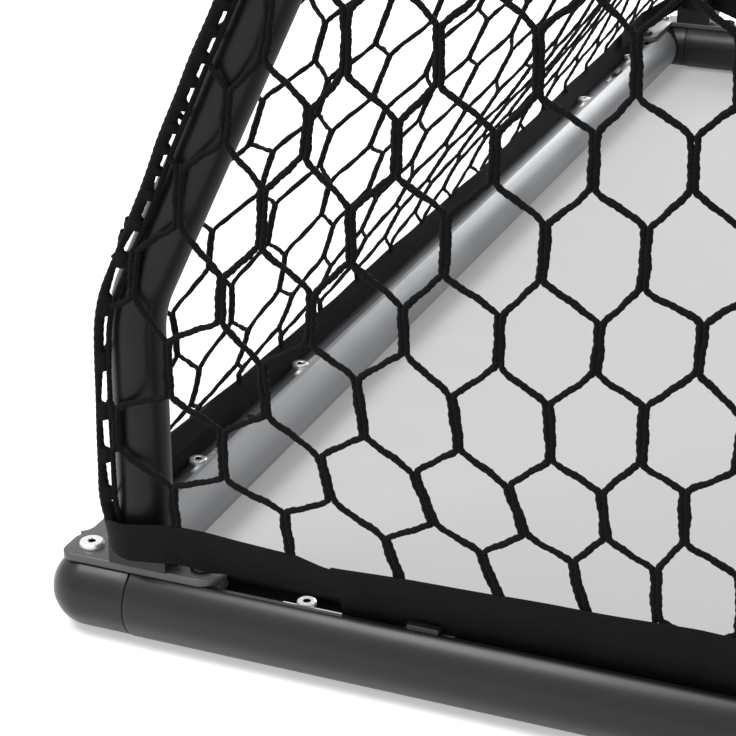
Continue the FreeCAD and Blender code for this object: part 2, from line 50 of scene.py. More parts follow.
class Side(Enum):
    """Which half of the object a piece belongs to, and the sign of its X."""

    LEFT = -1
    RIGHT = 1

    @property
    def word(self) -> str:
        """The ending that node names of this half have."""
        return self.name.lower()


class Way(Enum):
    """Directions that rails, slots and bands point in."""

    BACK = (0.0, 1.0, 0.0)
    FORWARD = (0.0, -1.0, 0.0)
    UP = (0.0, 0.0, 1.0)
    DOWN = (0.0, 0.0, -1.0)

    @property
    def vec(self) -> np.ndarray:
        """The direction as an array."""
        return np.array(self.value)


@dataclass(frozen=True)
class FrameSizes:
    """The sizes that the dressed pieces share with the frame, in metres."""

    half_width: float = 0.500
    half_length: float = 0.220
    rail_z: float = 0.019
    crossbar_z: float = 0.781
    rail_r: float = 0.019
    flat_half: float = 0.0097
    land_step: float = 0.0005
    lip_half: float = 0.0064
    lip_under: float = 0.0134
    cavity_half: float = 0.0090
    cavity_floor: float = 0.0065
    elbow_reach: float = 0.0245
    plate_t: float = 0.004
    screw_at: float = 0.056
    tube_r: float = 0.0125
    foot_at: float = 0.0285
    foot_bend_z: float = 0.162
    lean: float = math.radians(25.0)
    bend_r: float = 0.060
    block_t: float = 0.012
    net_off: float = 0.0144
    net_back: float = 0.0140
    elbow_r: float = 0.0187
    lap_from: float = 0.062
    lap_to: float = 0.124
    hem_in: float = 0.0105
    hem_out: float = 0.045
    hem_t: float = 0.0015

    @property
    def flat_b(self) -> float:
        """Height of the flattened slot side above the rail's axis."""
        return math.sqrt(self.rail_r ** 2 - self.flat_half ** 2)

    @property
    def hem_top(self) -> float:
        """Height of the webbing's free edge on the ground rails."""
        return self.rail_z + self.hem_out

    @property
    def roof_z(self) -> float:
        """Height of the net's level stretch below the crossbar."""
        return self.crossbar_z - self.foot_at + self.net_off


SIZES = FrameSizes()


class NodeGraph:
    """Adds and links the shader nodes of one material or world."""

    def __init__(self, owner: bpy.types.Material | bpy.types.World) -> None:
        """Open the nodes.

        Args:
            owner: The material or world that they belong to.
        """
        owner.use_nodes = True
        self.owner = owner
        self.tree = owner.node_tree
        self.bsdf = self.tree.nodes.get("Principled BSDF")

    def add(self, kind: str, **inputs: object) -> bpy.types.Node:
        """Add a node.

        Args:
            kind: The node type's name, without its ShaderNode prefix.
            inputs: Values of input sockets, or settings of the node.

        Returns:
            The new node.
        """
        node = self.tree.nodes.new("ShaderNode" + kind)
        for key, value in inputs.items():
            label = key.replace("_", " ").title()
            if label in node.inputs:
                node.inputs[label].default_value = value
            else:
                setattr(node, key, value)
        return node

    def link(self, a: bpy.types.NodeSocket, b: bpy.types.NodeSocket) -> None:
        """Join an output socket to an input socket."""
        self.tree.links.new(a, b)

    def math(self, operation: str, *values: object) -> bpy.types.NodeSocket:
        """Add a sum of one operation.

        Args:
            operation: The operation's name.
            values: Numbers or output sockets.

        Returns:
            The result's socket.
        """
        node = self.add("Math", operation=operation)
        for slot, value in zip(node.inputs, values):
            if isinstance(value, (int, float)):
                slot.default_value = value
            else:
                self.link(value, slot)
        return node.outputs[0]

    def coords(self, stretch: tuple[float, float, float] = (1.0, 1.0, 1.0)) -> bpy.types.NodeSocket:
        """Object coordinates, each axis times a factor."""
        mapping = self.add("Mapping")
        mapping.inputs["Scale"].default_value = stretch
        self.link(self.add("TexCoord").outputs["Object"], mapping.inputs["Vector"])
        return mapping.outputs["Vector"]

    def parts(self, kind: str) -> bpy.types.NodeOutputs:
        """The separate numbers of Object or UV coordinates."""
        parts = self.add("SeparateXYZ")
        self.link(self.add("TexCoord").outputs[kind], parts.inputs[0])
        return parts.outputs

    def noise(self, where: bpy.types.NodeSocket, scale: float, detail: float = 3.0) -> bpy.types.NodeSocket:
        """Noise from 0 to 1 at a scale."""
        node = self.add("TexNoise", scale=scale, detail=detail)
        self.link(where, node.inputs["Vector"])
        return node.outputs["Fac"]

    def spread(self, value: bpy.types.NodeSocket, low: float, high: float,
               out_low: float, out_high: float) -> bpy.types.NodeSocket:
        """Map a value's range to another one, clamped."""
        node = self.add("MapRange")
        labels = ("From Min", "From Max", "To Min", "To Max")
        for label, number in zip(labels, (low, high, out_low, out_high)):
            node.inputs[label].default_value = number
        self.link(value, node.inputs["Value"])
        return node.outputs[0]

    def varied(self, noise: bpy.types.NodeSocket, low: float, high: float) -> bpy.types.NodeSocket:
        """Map noise, which mostly lies between 0.3 and 0.7, to a range."""
        return self.spread(noise, 0.3, 0.7, low, high)

    def seen(self) -> bpy.types.NodeSocket:
        """1 where the eye looks, straight, in a reflection or through glass, and 0 for soft light."""
        path = self.add("LightPath").outputs
        seen = self.math("MAXIMUM", path["Is Camera Ray"], path["Is Glossy Ray"])
        return self.math("MAXIMUM", seen, path["Is Transmission Ray"])

    def tint(self, value: bpy.types.NodeSocket, dark: tuple[float, float, float],
             light: tuple[float, float, float]) -> None:
        """Colour the surface between two tones by a value from 0 to 1."""
        ramp = self.add("ValToRGB")
        ramp.color_ramp.elements[0].color = (*dark, 1.0)
        ramp.color_ramp.elements[1].color = (*light, 1.0)
        self.link(value, ramp.inputs["Fac"])
        self.link(ramp.outputs["Color"], self.bsdf.inputs["Base Color"])

    def bump(self, height: bpy.types.NodeSocket, distance: float, strength: float = 1.0) -> None:
        """Raise the surface by a height, after any earlier bump."""
        node = self.add("Bump")
        node.inputs["Strength"].default_value = strength
        node.inputs["Distance"].default_value = distance
        self.link(height, node.inputs["Height"])
        earlier = self.bsdf.inputs["Normal"].links
        if earlier:
            self.link(earlier[0].from_socket, node.inputs["Normal"])
        self.link(node.outputs["Normal"], self.bsdf.inputs["Normal"])

    def gloss(self, metallic: float, specular: float, **sockets: float) -> None:
        """Set the shader's own sockets that are the same all over."""
        self.bsdf.inputs["Metallic"].default_value = metallic
        self.bsdf.inputs["Specular IOR Level"].default_value = specular
        for key, value in sockets.items():
            self.bsdf.inputs[key.replace("_", " ").title()].default_value = value


@dataclass(frozen=True)
class CoatedMetal:
    """Satin powder coat or anodising: fine grain, cloudy gloss and faint drawn lines."""

    name: str
    dark: tuple[float, float, float]
    light: tuple[float, float, float]
    metallic: float
    roughness: float
    drawn: tuple[float, float, float] = (1.0, 1.0, 1.0)
    grain: float = 0.00004
    specular: float = 0.5
    cloud_scale: float = 14.0
    cloud_rough: float = 0.03
    line_scale: float = 160.0
    line_rough: float = 0.04
    line_depth: float = 0.00002
    grain_scale: float = 1400.0

    def material(self) -> bpy.types.Material:
        """Build the node material."""
        g = NodeGraph(bpy.data.materials.new(self.name))
        here = g.coords()
        cloud = g.noise(here, self.cloud_scale, 4.0)
        g.tint(g.varied(cloud, 0.0, 1.0), self.dark, self.light)
        lines = g.noise(g.coords(self.drawn), self.line_scale, 2.0)
        rough = g.math("ADD", g.varied(lines, -self.line_rough, self.line_rough),
                       g.varied(cloud, self.roughness - self.cloud_rough, self.roughness + self.cloud_rough))
        g.link(rough, g.bsdf.inputs["Roughness"])
        g.bump(g.noise(here, self.grain_scale, 2.0), self.grain, 0.5)
        g.bump(lines, self.line_depth, 0.3)
        g.gloss(self.metallic, self.specular)
        return g.owner


@dataclass(frozen=True)
class PlatedSteel:
    """Bright zinc-plated steel with fine turning marks, and painted shade where U is 1, in a socket."""

    name: str = "plated_steel"
    tone: float = 0.86
    # Colour of the painted shade inside the hexagon sockets.
    painted_socket_shade: float = 0.02
    tone_scale: float = 300.0
    rough_scale: float = 500.0
    mark_scale: float = 900.0
    mark_depth: float = 0.00003

    def material(self) -> bpy.types.Material:
        """Build the node material."""
        g = NodeGraph(bpy.data.materials.new(self.name))
        here = g.coords()
        # Painted shade: near black where U is 1, standing in for the shade inside the hex recess.
        outside_socket_shade = g.spread(g.parts("UV")[0], 0.4, 0.6, 1.0, 0.0)
        shade = g.varied(g.noise(here, self.tone_scale), 0.93, 1.0)
        g.tint(g.math("MULTIPLY", shade, outside_socket_shade), (self.painted_socket_shade,) * 3, (self.tone,) * 3)
        g.link(g.varied(g.noise(here, self.rough_scale), 0.24, 0.36), g.bsdf.inputs["Roughness"])
        g.bump(g.noise(g.coords((1.0, 1.0, 6.0)), self.mark_scale), self.mark_depth, 0.5)
        g.gloss(0.75, 0.6)
        return g.owner


@dataclass(frozen=True)
class MouldedPlastic:
    """Dull black moulded plastic."""

    name: str
    tone: float = 0.012
    roughness: float = 0.5
    tone_scale: float = 120.0
    rough_scale: float = 400.0
    grain_scale: float = 2200.0
    grain: float = 0.00004

    def material(self) -> bpy.types.Material:
        """Build the node material."""
        g = NodeGraph(bpy.data.materials.new(self.name))
        here = g.coords()
        t = self.tone
        g.tint(g.noise(here, self.tone_scale), (t * 0.7, t * 0.7, t * 0.72), (t * 1.3, t * 1.3, t * 1.3))
        rough = g.varied(g.noise(here, self.rough_scale), self.roughness - 0.06, self.roughness + 0.06)
        g.link(rough, g.bsdf.inputs["Roughness"])
        g.bump(g.noise(here, self.grain_scale), self.grain, 0.6)
        g.gloss(0.0, 0.4)
        return g.owner


@dataclass(frozen=True)
class KnottedTwine:
    """Matt black knitted twine: small stitches along it and loose fibres. U is its length in metres."""

    name: str = "knitted_twine"
    dark: tuple[float, float, float] = (0.0012, 0.0011, 0.0011)
    light: tuple[float, float, float] = (0.0060, 0.0057, 0.0056)
    stitch: float = 0.0017
    stitch_depth: float = 0.00020
    fuzz_scale: float = 2600.0
    fuzz_depth: float = 0.00012

    def material(self) -> bpy.types.Material:
        """Build the node material."""
        g = NodeGraph(bpy.data.materials.new(self.name))
        parts = g.parts("UV")
        along = g.math("MULTIPLY", parts[0], 2 * math.pi / self.stitch)
        round_it = g.math("MULTIPLY", parts[1], 4 * math.pi)
        one = g.math("SINE", g.math("ADD", along, round_it))
        two = g.math("SINE", g.math("SUBTRACT", along, round_it))
        braid = g.math("MAXIMUM", one, two)
        fuzz = g.noise(g.coords(), self.fuzz_scale, 2.0)
        tone = g.math("ADD", g.spread(braid, -1.0, 1.0, 0.0, 0.62), g.spread(fuzz, 0.35, 0.7, 0.0, 0.38))
        g.tint(tone, self.dark, self.light)
        g.bump(braid, self.stitch_depth, 0.8)
        g.bump(fuzz, self.fuzz_depth, 0.6)
        g.gloss(0.0, 0.12, roughness=0.85, sheen_weight=0.02, sheen_roughness=0.4)
        return g.owner


@dataclass(frozen=True)
class WovenWebbing:
    """Ribbed black webbing: fine weft ribs, a twill between them and a dusty nap. U and V are metres."""

    name: str
    warm: float = 1.0
    rib: float = 0.0016
    cloud_scale: float = 55.0
    nap_scale: float = 2300.0
    weave_depth: float = 0.00014
    nap_depth: float = 0.0001
    cloud_depth: float = 0.0009

    def material(self) -> bpy.types.Material:
        """Build the node material."""
        g = NodeGraph(bpy.data.materials.new(self.name))
        parts = g.parts("UV")
        along = g.math("MULTIPLY", parts[0], 2 * math.pi / self.rib)
        across = g.math("MULTIPLY", parts[1], 2 * math.pi / (self.rib * 0.8))
        weave = g.math("MULTIPLY", g.math("SINE", along), g.math("SINE", across))
        here = g.coords()
        cloud = g.noise(here, self.cloud_scale, 4.0)
        tone = g.math("ADD", g.spread(weave, -1.0, 1.0, 0.0, 0.4), g.varied(cloud, 0.0, 0.6))
        w = self.warm
        g.tint(tone, (0.0016 * w, 0.0016, 0.0016 / w), (0.0068 * w, 0.0066, 0.0064 / w))
        g.bump(weave, self.weave_depth, 0.6)
        g.bump(g.noise(here, self.nap_scale, 2.0), self.nap_depth, 0.5)
        g.bump(cloud, self.cloud_depth, 0.35)
        g.gloss(0.0, 0.13, roughness=0.8, sheen_weight=0.03, sheen_roughness=0.35)
        return g.owner


@dataclass(frozen=True)
class PaleFloor:
    """A plain floor, white outside the frame and a light grey between its rails."""

    name: str = "pale_floor"
    white: float = 0.80
    inside: float = 0.455
    glow: float = 0.42
    inside_glow: float = 0.55
    edge: float = 0.004
    fade: float = 0.25

    def material(self) -> bpy.types.Material:
        """Build the node material."""
        g = NodeGraph(bpy.data.materials.new(self.name))
        parts = g.parts("Object")
        half_x, half_y = SIZES.half_width, SIZES.half_length
        wide = g.spread(g.math("ABSOLUTE", parts[0]), half_x - self.edge, half_x + self.edge, 1.0, 0.0)
        behind = g.spread(parts[1], half_y - self.edge, half_y + self.edge, 1.0, 0.0)
        before = g.spread(parts[1], -half_y - self.fade, -half_y, 0.0, 1.0)
        mask = g.math("MULTIPLY", g.math("MULTIPLY", wide, behind), before)
        g.tint(mask, (self.white,) * 3, (self.inside * 0.8, self.inside * 0.785, self.inside * 0.79))
        g.gloss(0.0, 0.0, roughness=0.9)
        level = g.spread(mask, 0.0, 1.0, self.glow, self.glow * self.inside_glow)
        shine, both = g.add("Emission"), g.add("AddShader")
        g.link(g.math("MULTIPLY", g.seen(), level), shine.inputs["Strength"])
        g.link(g.bsdf.outputs[0], both.inputs[0])
        g.link(shine.outputs[0], both.inputs[1])
        g.link(both.outputs[0], g.tree.nodes["Material Output"].inputs["Surface"])
        return g.owner


class Finishes:
    """Every finish of the object, built once."""

    def __init__(self) -> None:
        """Build the materials."""
        along_y, along_x, along_z = (1.0, 0.02, 1.0), (0.02, 1.0, 1.0), (1.0, 1.0, 0.02)
        dark, light = (0.0105, 0.0107, 0.0110), (0.0150, 0.0152, 0.0156)
        coat = dict(metallic=0.0, roughness=0.33, specular=0.34)
        self.side_rail = CoatedMetal("coated_rail_y", dark, light, drawn=along_y, **coat).material()
        self.post_rail = CoatedMetal("coated_rail_z", dark, light, drawn=along_z, **coat).material()
        self.cross_rail = CoatedMetal("coated_rail_x", dark, light, drawn=along_x, **coat).material()
        # Painted reflection: the rear rail is the same dark coated metal as the others; its light bluish grey
        # base colour stands in for the bright grazing reflection it shows.
        self.rear_rail = CoatedMetal("anodised_rear_rail", (0.255, 0.265, 0.277), (0.315, 0.326, 0.338),
                                     metallic=0.72, roughness=0.54, drawn=along_x).material()
        self.casting = CoatedMetal("coated_casting", dark, light, grain=0.00006, **coat).material()
        self.plate = CoatedMetal("coated_plate", (0.074, 0.075, 0.077), (0.096, 0.097, 0.099),
                                 metallic=0.2, roughness=0.36).material()
        self.upright = CoatedMetal("coated_upright", (0.0050, 0.0051, 0.0053), (0.0078, 0.0079, 0.0081),
                                   metallic=0.0, roughness=0.36, drawn=along_z, specular=0.22).material()
        self.black_steel = CoatedMetal("black_steel", (0.010, 0.010, 0.011), (0.018, 0.018, 0.019),
                                       metallic=0.6, roughness=0.30).material()
        self.plated = PlatedSteel().material()
        self.plastic = MouldedPlastic("moulded_clip").material()
        self.twine = KnottedTwine().material()
        self.webbing = WovenWebbing("webbing_black", warm=0.99).material()
        self.corner_webbing = WovenWebbing("webbing_brown_black", warm=1.09).material()


def unit(v: np.ndarray) -> np.ndarray:
    """Vectors of length 1."""
    return v / np.maximum(np.linalg.norm(v, axis=-1, keepdims=True), 1e-12)


def run_along(points: np.ndarray) -> np.ndarray:
    """Distance along a line of points from its first one."""
    return np.concatenate([[0.0], np.cumsum(np.linalg.norm(np.diff(points, axis=0), axis=1))])


def closed(rows: np.ndarray) -> np.ndarray:
    """Rows that end with their first column again."""
    return np.concatenate([rows, rows[:, :1]], axis=1)


def eased(share: np.ndarray) -> np.ndarray:
    """A share from 0 to 1 with a soft start and a soft end."""
    return share ** 2 * (3.0 - 2.0 * share)


def ring_angles(sides: int) -> np.ndarray:
    """The angles of the points of a ring."""
    return np.linspace(0.0, 2 * math.pi, sides, endpoint=False)


def arc(centre: tuple[float, float], radius: float, start: float, stop: float,
        count: int) -> list[tuple[float, float]]:
    """Points on a plane arc, angles in degrees."""
    return [(centre[0] + radius * math.cos(math.radians(t)), centre[1] + radius * math.sin(math.radians(t)))
            for t in np.linspace(start, stop, count)]


def tube_around(path: np.ndarray, normals: np.ndarray, radii: np.ndarray, sides: int) -> np.ndarray:
    """Rings of points around a path.

    Args:
        path: The path's points.
        normals: A direction across the path at each point.
        radii: Radius at each point and side, or at each point.
        sides: Points in a ring.

    Returns:
        Array of rings, sides and 3.
    """
    tangent = unit(np.gradient(path, axis=0))
    across = unit(np.cross(tangent, normals))
    lift = unit(np.cross(across, tangent))
    angle = ring_angles(sides)[None, :, None]
    if radii.ndim == 1:
        radii = radii[:, None]
    ring = across[:, None, :] * np.cos(angle) + lift[:, None, :] * np.sin(angle)
    return path[:, None, :] + ring * radii[..., None]


def placed(x: Vector, y: Vector, z: Vector, origin: Vector) -> Matrix:
    """The matrix of three axes at an origin."""
    matrix = Matrix((x, y, z)).transposed().to_4x4()
    matrix.translation = origin
    return matrix


def through(matrix: Matrix, points: np.ndarray) -> np.ndarray:
    """Points carried by a matrix."""
    m = np.array(matrix)
    return points @ m[:3, :3].T + m[:3, 3]


def add_object(name: str, data: bpy.types.ID) -> bpy.types.Object:
    """Put a mesh, lamp or camera into the scene."""
    obj = bpy.data.objects.new(name, data)
    bpy.context.scene.collection.objects.link(obj)
    return obj


def hang(mesh: bpy.types.Mesh, material: bpy.types.Material, replaces: tuple[str, ...],
         sharp: float, body: str = BODY) -> bpy.types.Object:
    """Make the object of a mesh and hang it on the frame.

    Args:
        mesh: The mesh, which has the piece's name.
        material: Its finish.
        replaces: The frame's nodes that it stands for.
        sharp: Edges that turn by more than this, in degrees, stay sharp.
        body: The body that it rides on.

    Returns:
        The new object.
    """
    mesh.polygons.foreach_set("use_smooth", np.ones(len(mesh.polygons), dtype=bool))
    mesh.set_sharp_from_angle(angle=math.radians(sharp))
    mesh.materials.append(material)
    obj = add_object(mesh.name, mesh)
    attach(obj, body)
    if replaces:
        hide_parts(*replaces)
    LOG.info("%s: %d faces", obj.name, len(mesh.polygons))
    return obj


def weld(mesh: bpy.types.Mesh, gap: float = 1e-6) -> None:
    """Join points of a mesh that lie on each other and turn its faces outwards."""
    bm = bmesh.new()
    bm.from_mesh(mesh)
    bmesh.ops.remove_doubles(bm, verts=bm.verts, dist=gap)
    bmesh.ops.recalc_face_normals(bm, faces=bm.faces)
    bm.to_mesh(mesh)
    bm.free()


class Piece:
    """A mesh being put together, then hung on the frame."""

    def __init__(self, name: str) -> None:
        """Start an empty mesh.

        Args:
            name: The object's name.
        """
        self.name = name
        self.verts: list[np.ndarray] = []
        self.faces: list[np.ndarray] = []
        self.uvs: list[np.ndarray] = []
        self.ends: list[tuple[int, ...]] = []
        self.count = 0

    def grid(self, points: np.ndarray, uv: np.ndarray | None = None, close: bool = False) -> None:
        """Add a surface over rows of points.

        Args:
            points: Array of rows, columns and 3.
            uv: Array of rows, columns and 2, or None.
            close: Whether the last column joins the first.
        """
        if close and uv is not None:
            points, uv = closed(points), closed(uv)
        n, m, _ = points.shape
        rows = np.arange(n * m).reshape(n, m) + self.count
        if close and uv is None:
            rows = closed(rows)
        quads = np.stack([rows[:-1, :-1], rows[:-1, 1:], rows[1:, 1:], rows[1:, :-1]], axis=-1)
        self.verts.append(points.reshape(-1, 3))
        self.faces.append(quads.reshape(-1, 4))
        self.uvs.append(np.zeros((n * m, 2)) if uv is None else uv.reshape(-1, 2))
        self.count += n * m

    def strand(self, rings: np.ndarray, run: np.ndarray) -> None:
        """Add a twine over its rings. U is the length along it and V goes once round it."""
        turn = np.linspace(0.0, 1.0, rings.shape[1] + 1)
        self.grid(closed(rings), np.stack(np.meshgrid(run, turn, indexing="ij"), axis=-1))

    def cap(self, loop: np.ndarray) -> None:
        """Add one flat face over a loop of points."""
        self.verts.append(loop)
        self.uvs.append(np.zeros((len(loop), 2)))
        self.ends.append(tuple(range(self.count, self.count + len(loop))))
        self.count += len(loop)

    def finish(self, material: bpy.types.Material, replaces: tuple[str, ...], slot: str,
               sharp: float = 40.0, merge: bool = False, body: str = BODY) -> bpy.types.Object:
        """Make the mesh and its object.

        Args:
            material: Its finish.
            replaces: The frame's nodes that it stands for.
            slot: Not used.
            sharp: Edges that turn by more than this, in degrees, stay sharp.
            merge: Whether points that touch are joined.
            body: The body that it rides on.

        Returns:
            The new object.
        """
        verts, quads = np.concatenate(self.verts), np.concatenate(self.faces)
        mesh = bpy.data.meshes.new(self.name)
        loops = np.concatenate([quads.ravel()] + [np.array(e) for e in self.ends]).astype(np.int32)
        sizes = np.array([4] * len(quads) + [len(e) for e in self.ends], dtype=np.int32)
        mesh.vertices.add(len(verts))
        mesh.vertices.foreach_set("co", verts.astype(np.float32).ravel())
        mesh.loops.add(len(loops))
        mesh.loops.foreach_set("vertex_index", loops)
        mesh.polygons.add(len(sizes))
        mesh.polygons.foreach_set("loop_start", np.concatenate([[0], np.cumsum(sizes)[:-1]]).astype(np.int32))
        mesh.update(calc_edges=True)
        layer = mesh.uv_layers.new(name="UVMap")
        layer.data.foreach_set("uv", np.concatenate(self.uvs)[loops].astype(np.float32).ravel())
        mesh.validate()
        if merge:
            weld(mesh)
        return hang(mesh, material, replaces, sharp, body)


@dataclass
class SlottedRail:
    """A round rail with a slot: lips, cavity and rounded edges."""

    node: str
    start: tuple[float, float, float]
    stop: tuple[float, float, float]
    slot: Way
    edge: float = 0.0004
    trim: float = 1.2
    segments: int = 72

    def profile(self) -> np.ndarray:
        """The section's outline, the slot towards +Y."""
        s, e = SIZES, self.edge
        reach = math.degrees(math.acos(s.flat_half / s.rail_r)) - self.trim
        pts = arc((0.0, 0.0), s.rail_r, reach, -180.0 - reach, self.segments)
        land = s.flat_b - s.land_step
        shoulder = ((0.0002, s.land_step), (0.0005, 0.0001), (0.0009, 0.0))
        left = [(x - s.flat_half, land + y) for x, y in shoulder] + [(-s.lip_half - e, land)]
        left += arc((-s.lip_half - e, land - e), e, 90.0, 0.0, 4)[1:]
        left += [(-s.lip_half, s.lip_under + e / 2), (-s.lip_half - e / 2, s.lip_under),
                 (-s.cavity_half, s.lip_under), (-s.cavity_half, s.cavity_floor)]
        return np.array(pts + left + [(-x, y) for x, y in reversed(left)])

    def build(self, finish: bpy.types.Material, slot: str) -> bpy.types.Object:
        """Make the rail.

        Args:
            finish: Its finish.
            slot: The record's material slot.

        Returns:
            The rail's object.
        """
        start, span = np.array(self.start), np.array(self.stop) - np.array(self.start)
        length = np.linalg.norm(span)
        along = unit(span)
        y = self.slot.vec
        section = self.profile()
        ring = section[:, :1] * np.cross(y, along) + section[:, 1:] * y
        bevel = ((0.0, 0.0003), (0.0004, 0.0001), (0.0008, 0.0))
        stations = [*bevel] + [(length - t, inset) for t, inset in reversed(bevel)]
        rows = np.stack([start + along * t + ring * (1.0 - inset / SIZES.rail_r) for t, inset in stations])
        piece = Piece(self.node + "_skin")
        piece.grid(rows[:, ::-1], close=True)
        piece.cap(rows[0])
        piece.cap(rows[-1][::-1])
        return piece.finish(finish, (self.node,), slot, sharp=32.0)


@dataclass
class Rails:
    """The six slotted rails of the frame."""

    finishes: Finishes

    def build(self) -> list[bpy.types.Object]:
        """Make every rail."""
        s, f = SIZES, self.finishes
        near, reach = s.half_width - s.elbow_reach, s.elbow_reach
        back, front, low, top = s.half_length, -s.half_length, s.rail_z, s.crossbar_z
        made = [SlottedRail("rear_rail", (-near, back, low), (near, back, low), Way.UP)
                .build(f.rear_rail, "rear_rail"),
                SlottedRail("crossbar", (-near, front, top), (near, front, top), Way.BACK)
                .build(f.cross_rail, "rail")]
        for side in Side:
            x = side.value * s.half_width
            made.append(SlottedRail("side_rail_" + side.word, (x, back - reach, low), (x, front + reach, low),
                                    Way.UP).build(f.side_rail, "rail"))
            made.append(SlottedRail("front_post_" + side.word, (x, front, low + reach),
                                    (x, front, top - reach), Way.BACK).build(f.post_rail, "rail"))
        return made


class UprightPath:
    """The centre line of the bent uprights and the net's profile behind it, in the YZ plane."""

    def __init__(self, offset: float, step: float = 0.002) -> None:
        """Sample the line.

        Args:
            offset: Distance outwards from the tube's axis.
            step: Rough distance between samples.
        """
        s = SIZES
        foot_y, run_z = s.half_length - s.foot_at, s.crossbar_z - s.foot_at
        knee_y = foot_y - (run_z - s.foot_bend_z) * math.tan(s.lean)
        seat = s.flat_b + s.plate_t + s.block_t
        bends = np.array([(foot_y, s.rail_z + seat), (foot_y, s.foot_bend_z), (knee_y, run_z),
                          (seat - s.half_length, run_z)])
        points, normals = [], []
        at = bends[0]
        for i in range(1, 4):
            along = unit(bends[i] - bends[i - 1])
            out = np.array([along[1], -along[0]])
            stop, turn = bends[i], 0.0
            if i < 3:
                after = unit(bends[i + 1] - bends[i])
                turn = math.acos(float(np.clip(along @ after, -1, 1)))
                stop = bends[i] - along * s.bend_r * math.tan(turn / 2)
            count = max(2, int(np.linalg.norm(stop - at) / step))
            for t in np.linspace(0, 1, count, endpoint=False):
                points.append(at + (stop - at) * t)
                normals.append(out)
            if turn:
                centre = stop - out * s.bend_r
                for t in np.linspace(0, turn, max(3, int(turn * s.bend_r / step)), endpoint=False):
                    c, d = math.cos(t), math.sin(t)
                    n = np.array([out[0] * c - out[1] * d, out[0] * d + out[1] * c])
                    points.append(centre + n * s.bend_r)
                    normals.append(n)
                at = bends[i] + after * s.bend_r * math.tan(turn / 2)
            else:
                points.append(stop)
                normals.append(out)
        self.axis = np.array(points)
        self.normal = np.array(normals)
        self.line = self.axis + self.normal * offset
        self.length = run_along(self.line)


@dataclass
class Uprights:
    """The two bent tubes that carry the back of the net."""

    finishes: Finishes
    sides: int = 64
    step: float = 0.004
    end_inset: float = 0.0006

    def build(self) -> list[bpy.types.Object]:
        """Make both tubes."""
        path = UprightPath(0.0, self.step)
        made = []
        for side in Side:
            x = side.value * SIZES.half_width
            line = np.column_stack([np.full(len(path.axis), x), path.axis])
            normals = np.column_stack([np.zeros(len(path.axis)), path.normal])
            radii = np.full(len(line), SIZES.tube_r)
            radii[[0, -1]] -= self.end_inset
            rings = tube_around(line, normals, radii, self.sides)
            piece = Piece("upright_tube_" + side.word)
            piece.grid(rings, close=True)
            piece.cap(rings[0][::-1])
            piece.cap(rings[-1])
            made.append(piece.finish(self.finishes.upright, ("rear_upright_" + side.word,), "upright"))
        return made


def to_corner(side: Side, y: float, z: float, leg_a: Way, slot: Way) -> Matrix:
    """The matrix from a corner plate's own axes to the frame, a mirror on one half.

    Args:
        side: The half of the object.
        y: Where the axes of the rails cross, along the depth.
        z: Its height.
        leg_a: The direction of the leg that isn't across the object.
        slot: The direction that the slots face.

    Returns:
        The matrix.
    """
    return placed(Vector(leg_a.value), Vector((-side.value, 0.0, 0.0)), Vector(slot.value),
                  Vector((side.value * SIZES.half_width, y, z)))


def corners() -> list[tuple[str, Side, Matrix]]:
    """The four plated corners: their word, half and matrix."""
    s = SIZES
    found = []
    for side in Side:
        found.append(("rear", side, to_corner(side, s.half_length, s.rail_z, Way.FORWARD, Way.UP)))
        found.append(("top", side, to_corner(side, -s.half_length, s.crossbar_z, Way.DOWN, Way.BACK)))
    return found


@dataclass
class CornerPlates:
    """The flat L plates, with softened edges."""

    finishes: Finishes
    half: float = 0.0106
    lobe: float = 0.0113
    lobe_end: float = 0.0095
    lobe_turn: float = 122.0
    slim: float = 0.0080
    leg: float = 0.067
    corner_r: float = 0.0055
    inner_r: float = 0.003
    neck_r: float = 0.008
    neck_at: float = 0.0172
    neck_turn: float = -58.0
    soften: float = 0.0007

    def outline(self) -> list[tuple[float, float]]:
        """The plate's outline in its own axes: the leg across is slimmer outside its rounded lobe."""
        h, leg, rc, ri, lobe, slim = self.half, self.leg, self.corner_r, self.inner_r, self.lobe, self.slim
        mid, r = (h - slim) / 2, (h + slim) / 2
        return (arc((rc - lobe, rc - h), rc, 180.0, 270.0, 10) + arc((leg - h, 0.0), h, -90.0, 90.0, 25)
                + arc((h + ri, h + ri), ri, 270.0, 180.0, 7) + arc((mid, leg - r), r, 0.0, 180.0, 25)
                + arc((-slim - self.neck_r, self.neck_at), self.neck_r, 0.0, self.neck_turn, 9)
                + arc((rc - lobe, self.lobe_end - rc), rc, self.lobe_turn, 180.0, 8))

    def build(self) -> list[bpy.types.Object]:
        """Make the four plates."""
        made = []
        s = SIZES
        for word, side, matrix in corners():
            bm = bmesh.new()
            face = bm.faces.new([bm.verts.new((x, y, s.flat_b)) for x, y in self.outline()])
            top = bmesh.ops.extrude_face_region(bm, geom=[face])
            lifted = [v for v in top["geom"] if isinstance(v, bmesh.types.BMVert)]
            bmesh.ops.translate(bm, verts=lifted, vec=(0, 0, s.plate_t))
            rim = [e for e in bm.edges if abs(e.verts[0].co.z - e.verts[1].co.z) < 1e-7]
            bmesh.ops.bevel(bm, geom=rim, offset=self.soften, segments=3, profile=0.5, affect="EDGES")
            bm.transform(matrix)
            bmesh.ops.recalc_face_normals(bm, faces=bm.faces)
            mesh = bpy.data.meshes.new("%s_plate_%s" % (word, side.word))
            bm.to_mesh(mesh)
            bm.free()
            node = "%s_corner_plate_%s" % (word, side.word)
            made.append(hang(mesh, self.finishes.plate, (node,), sharp=35.0))
        return made


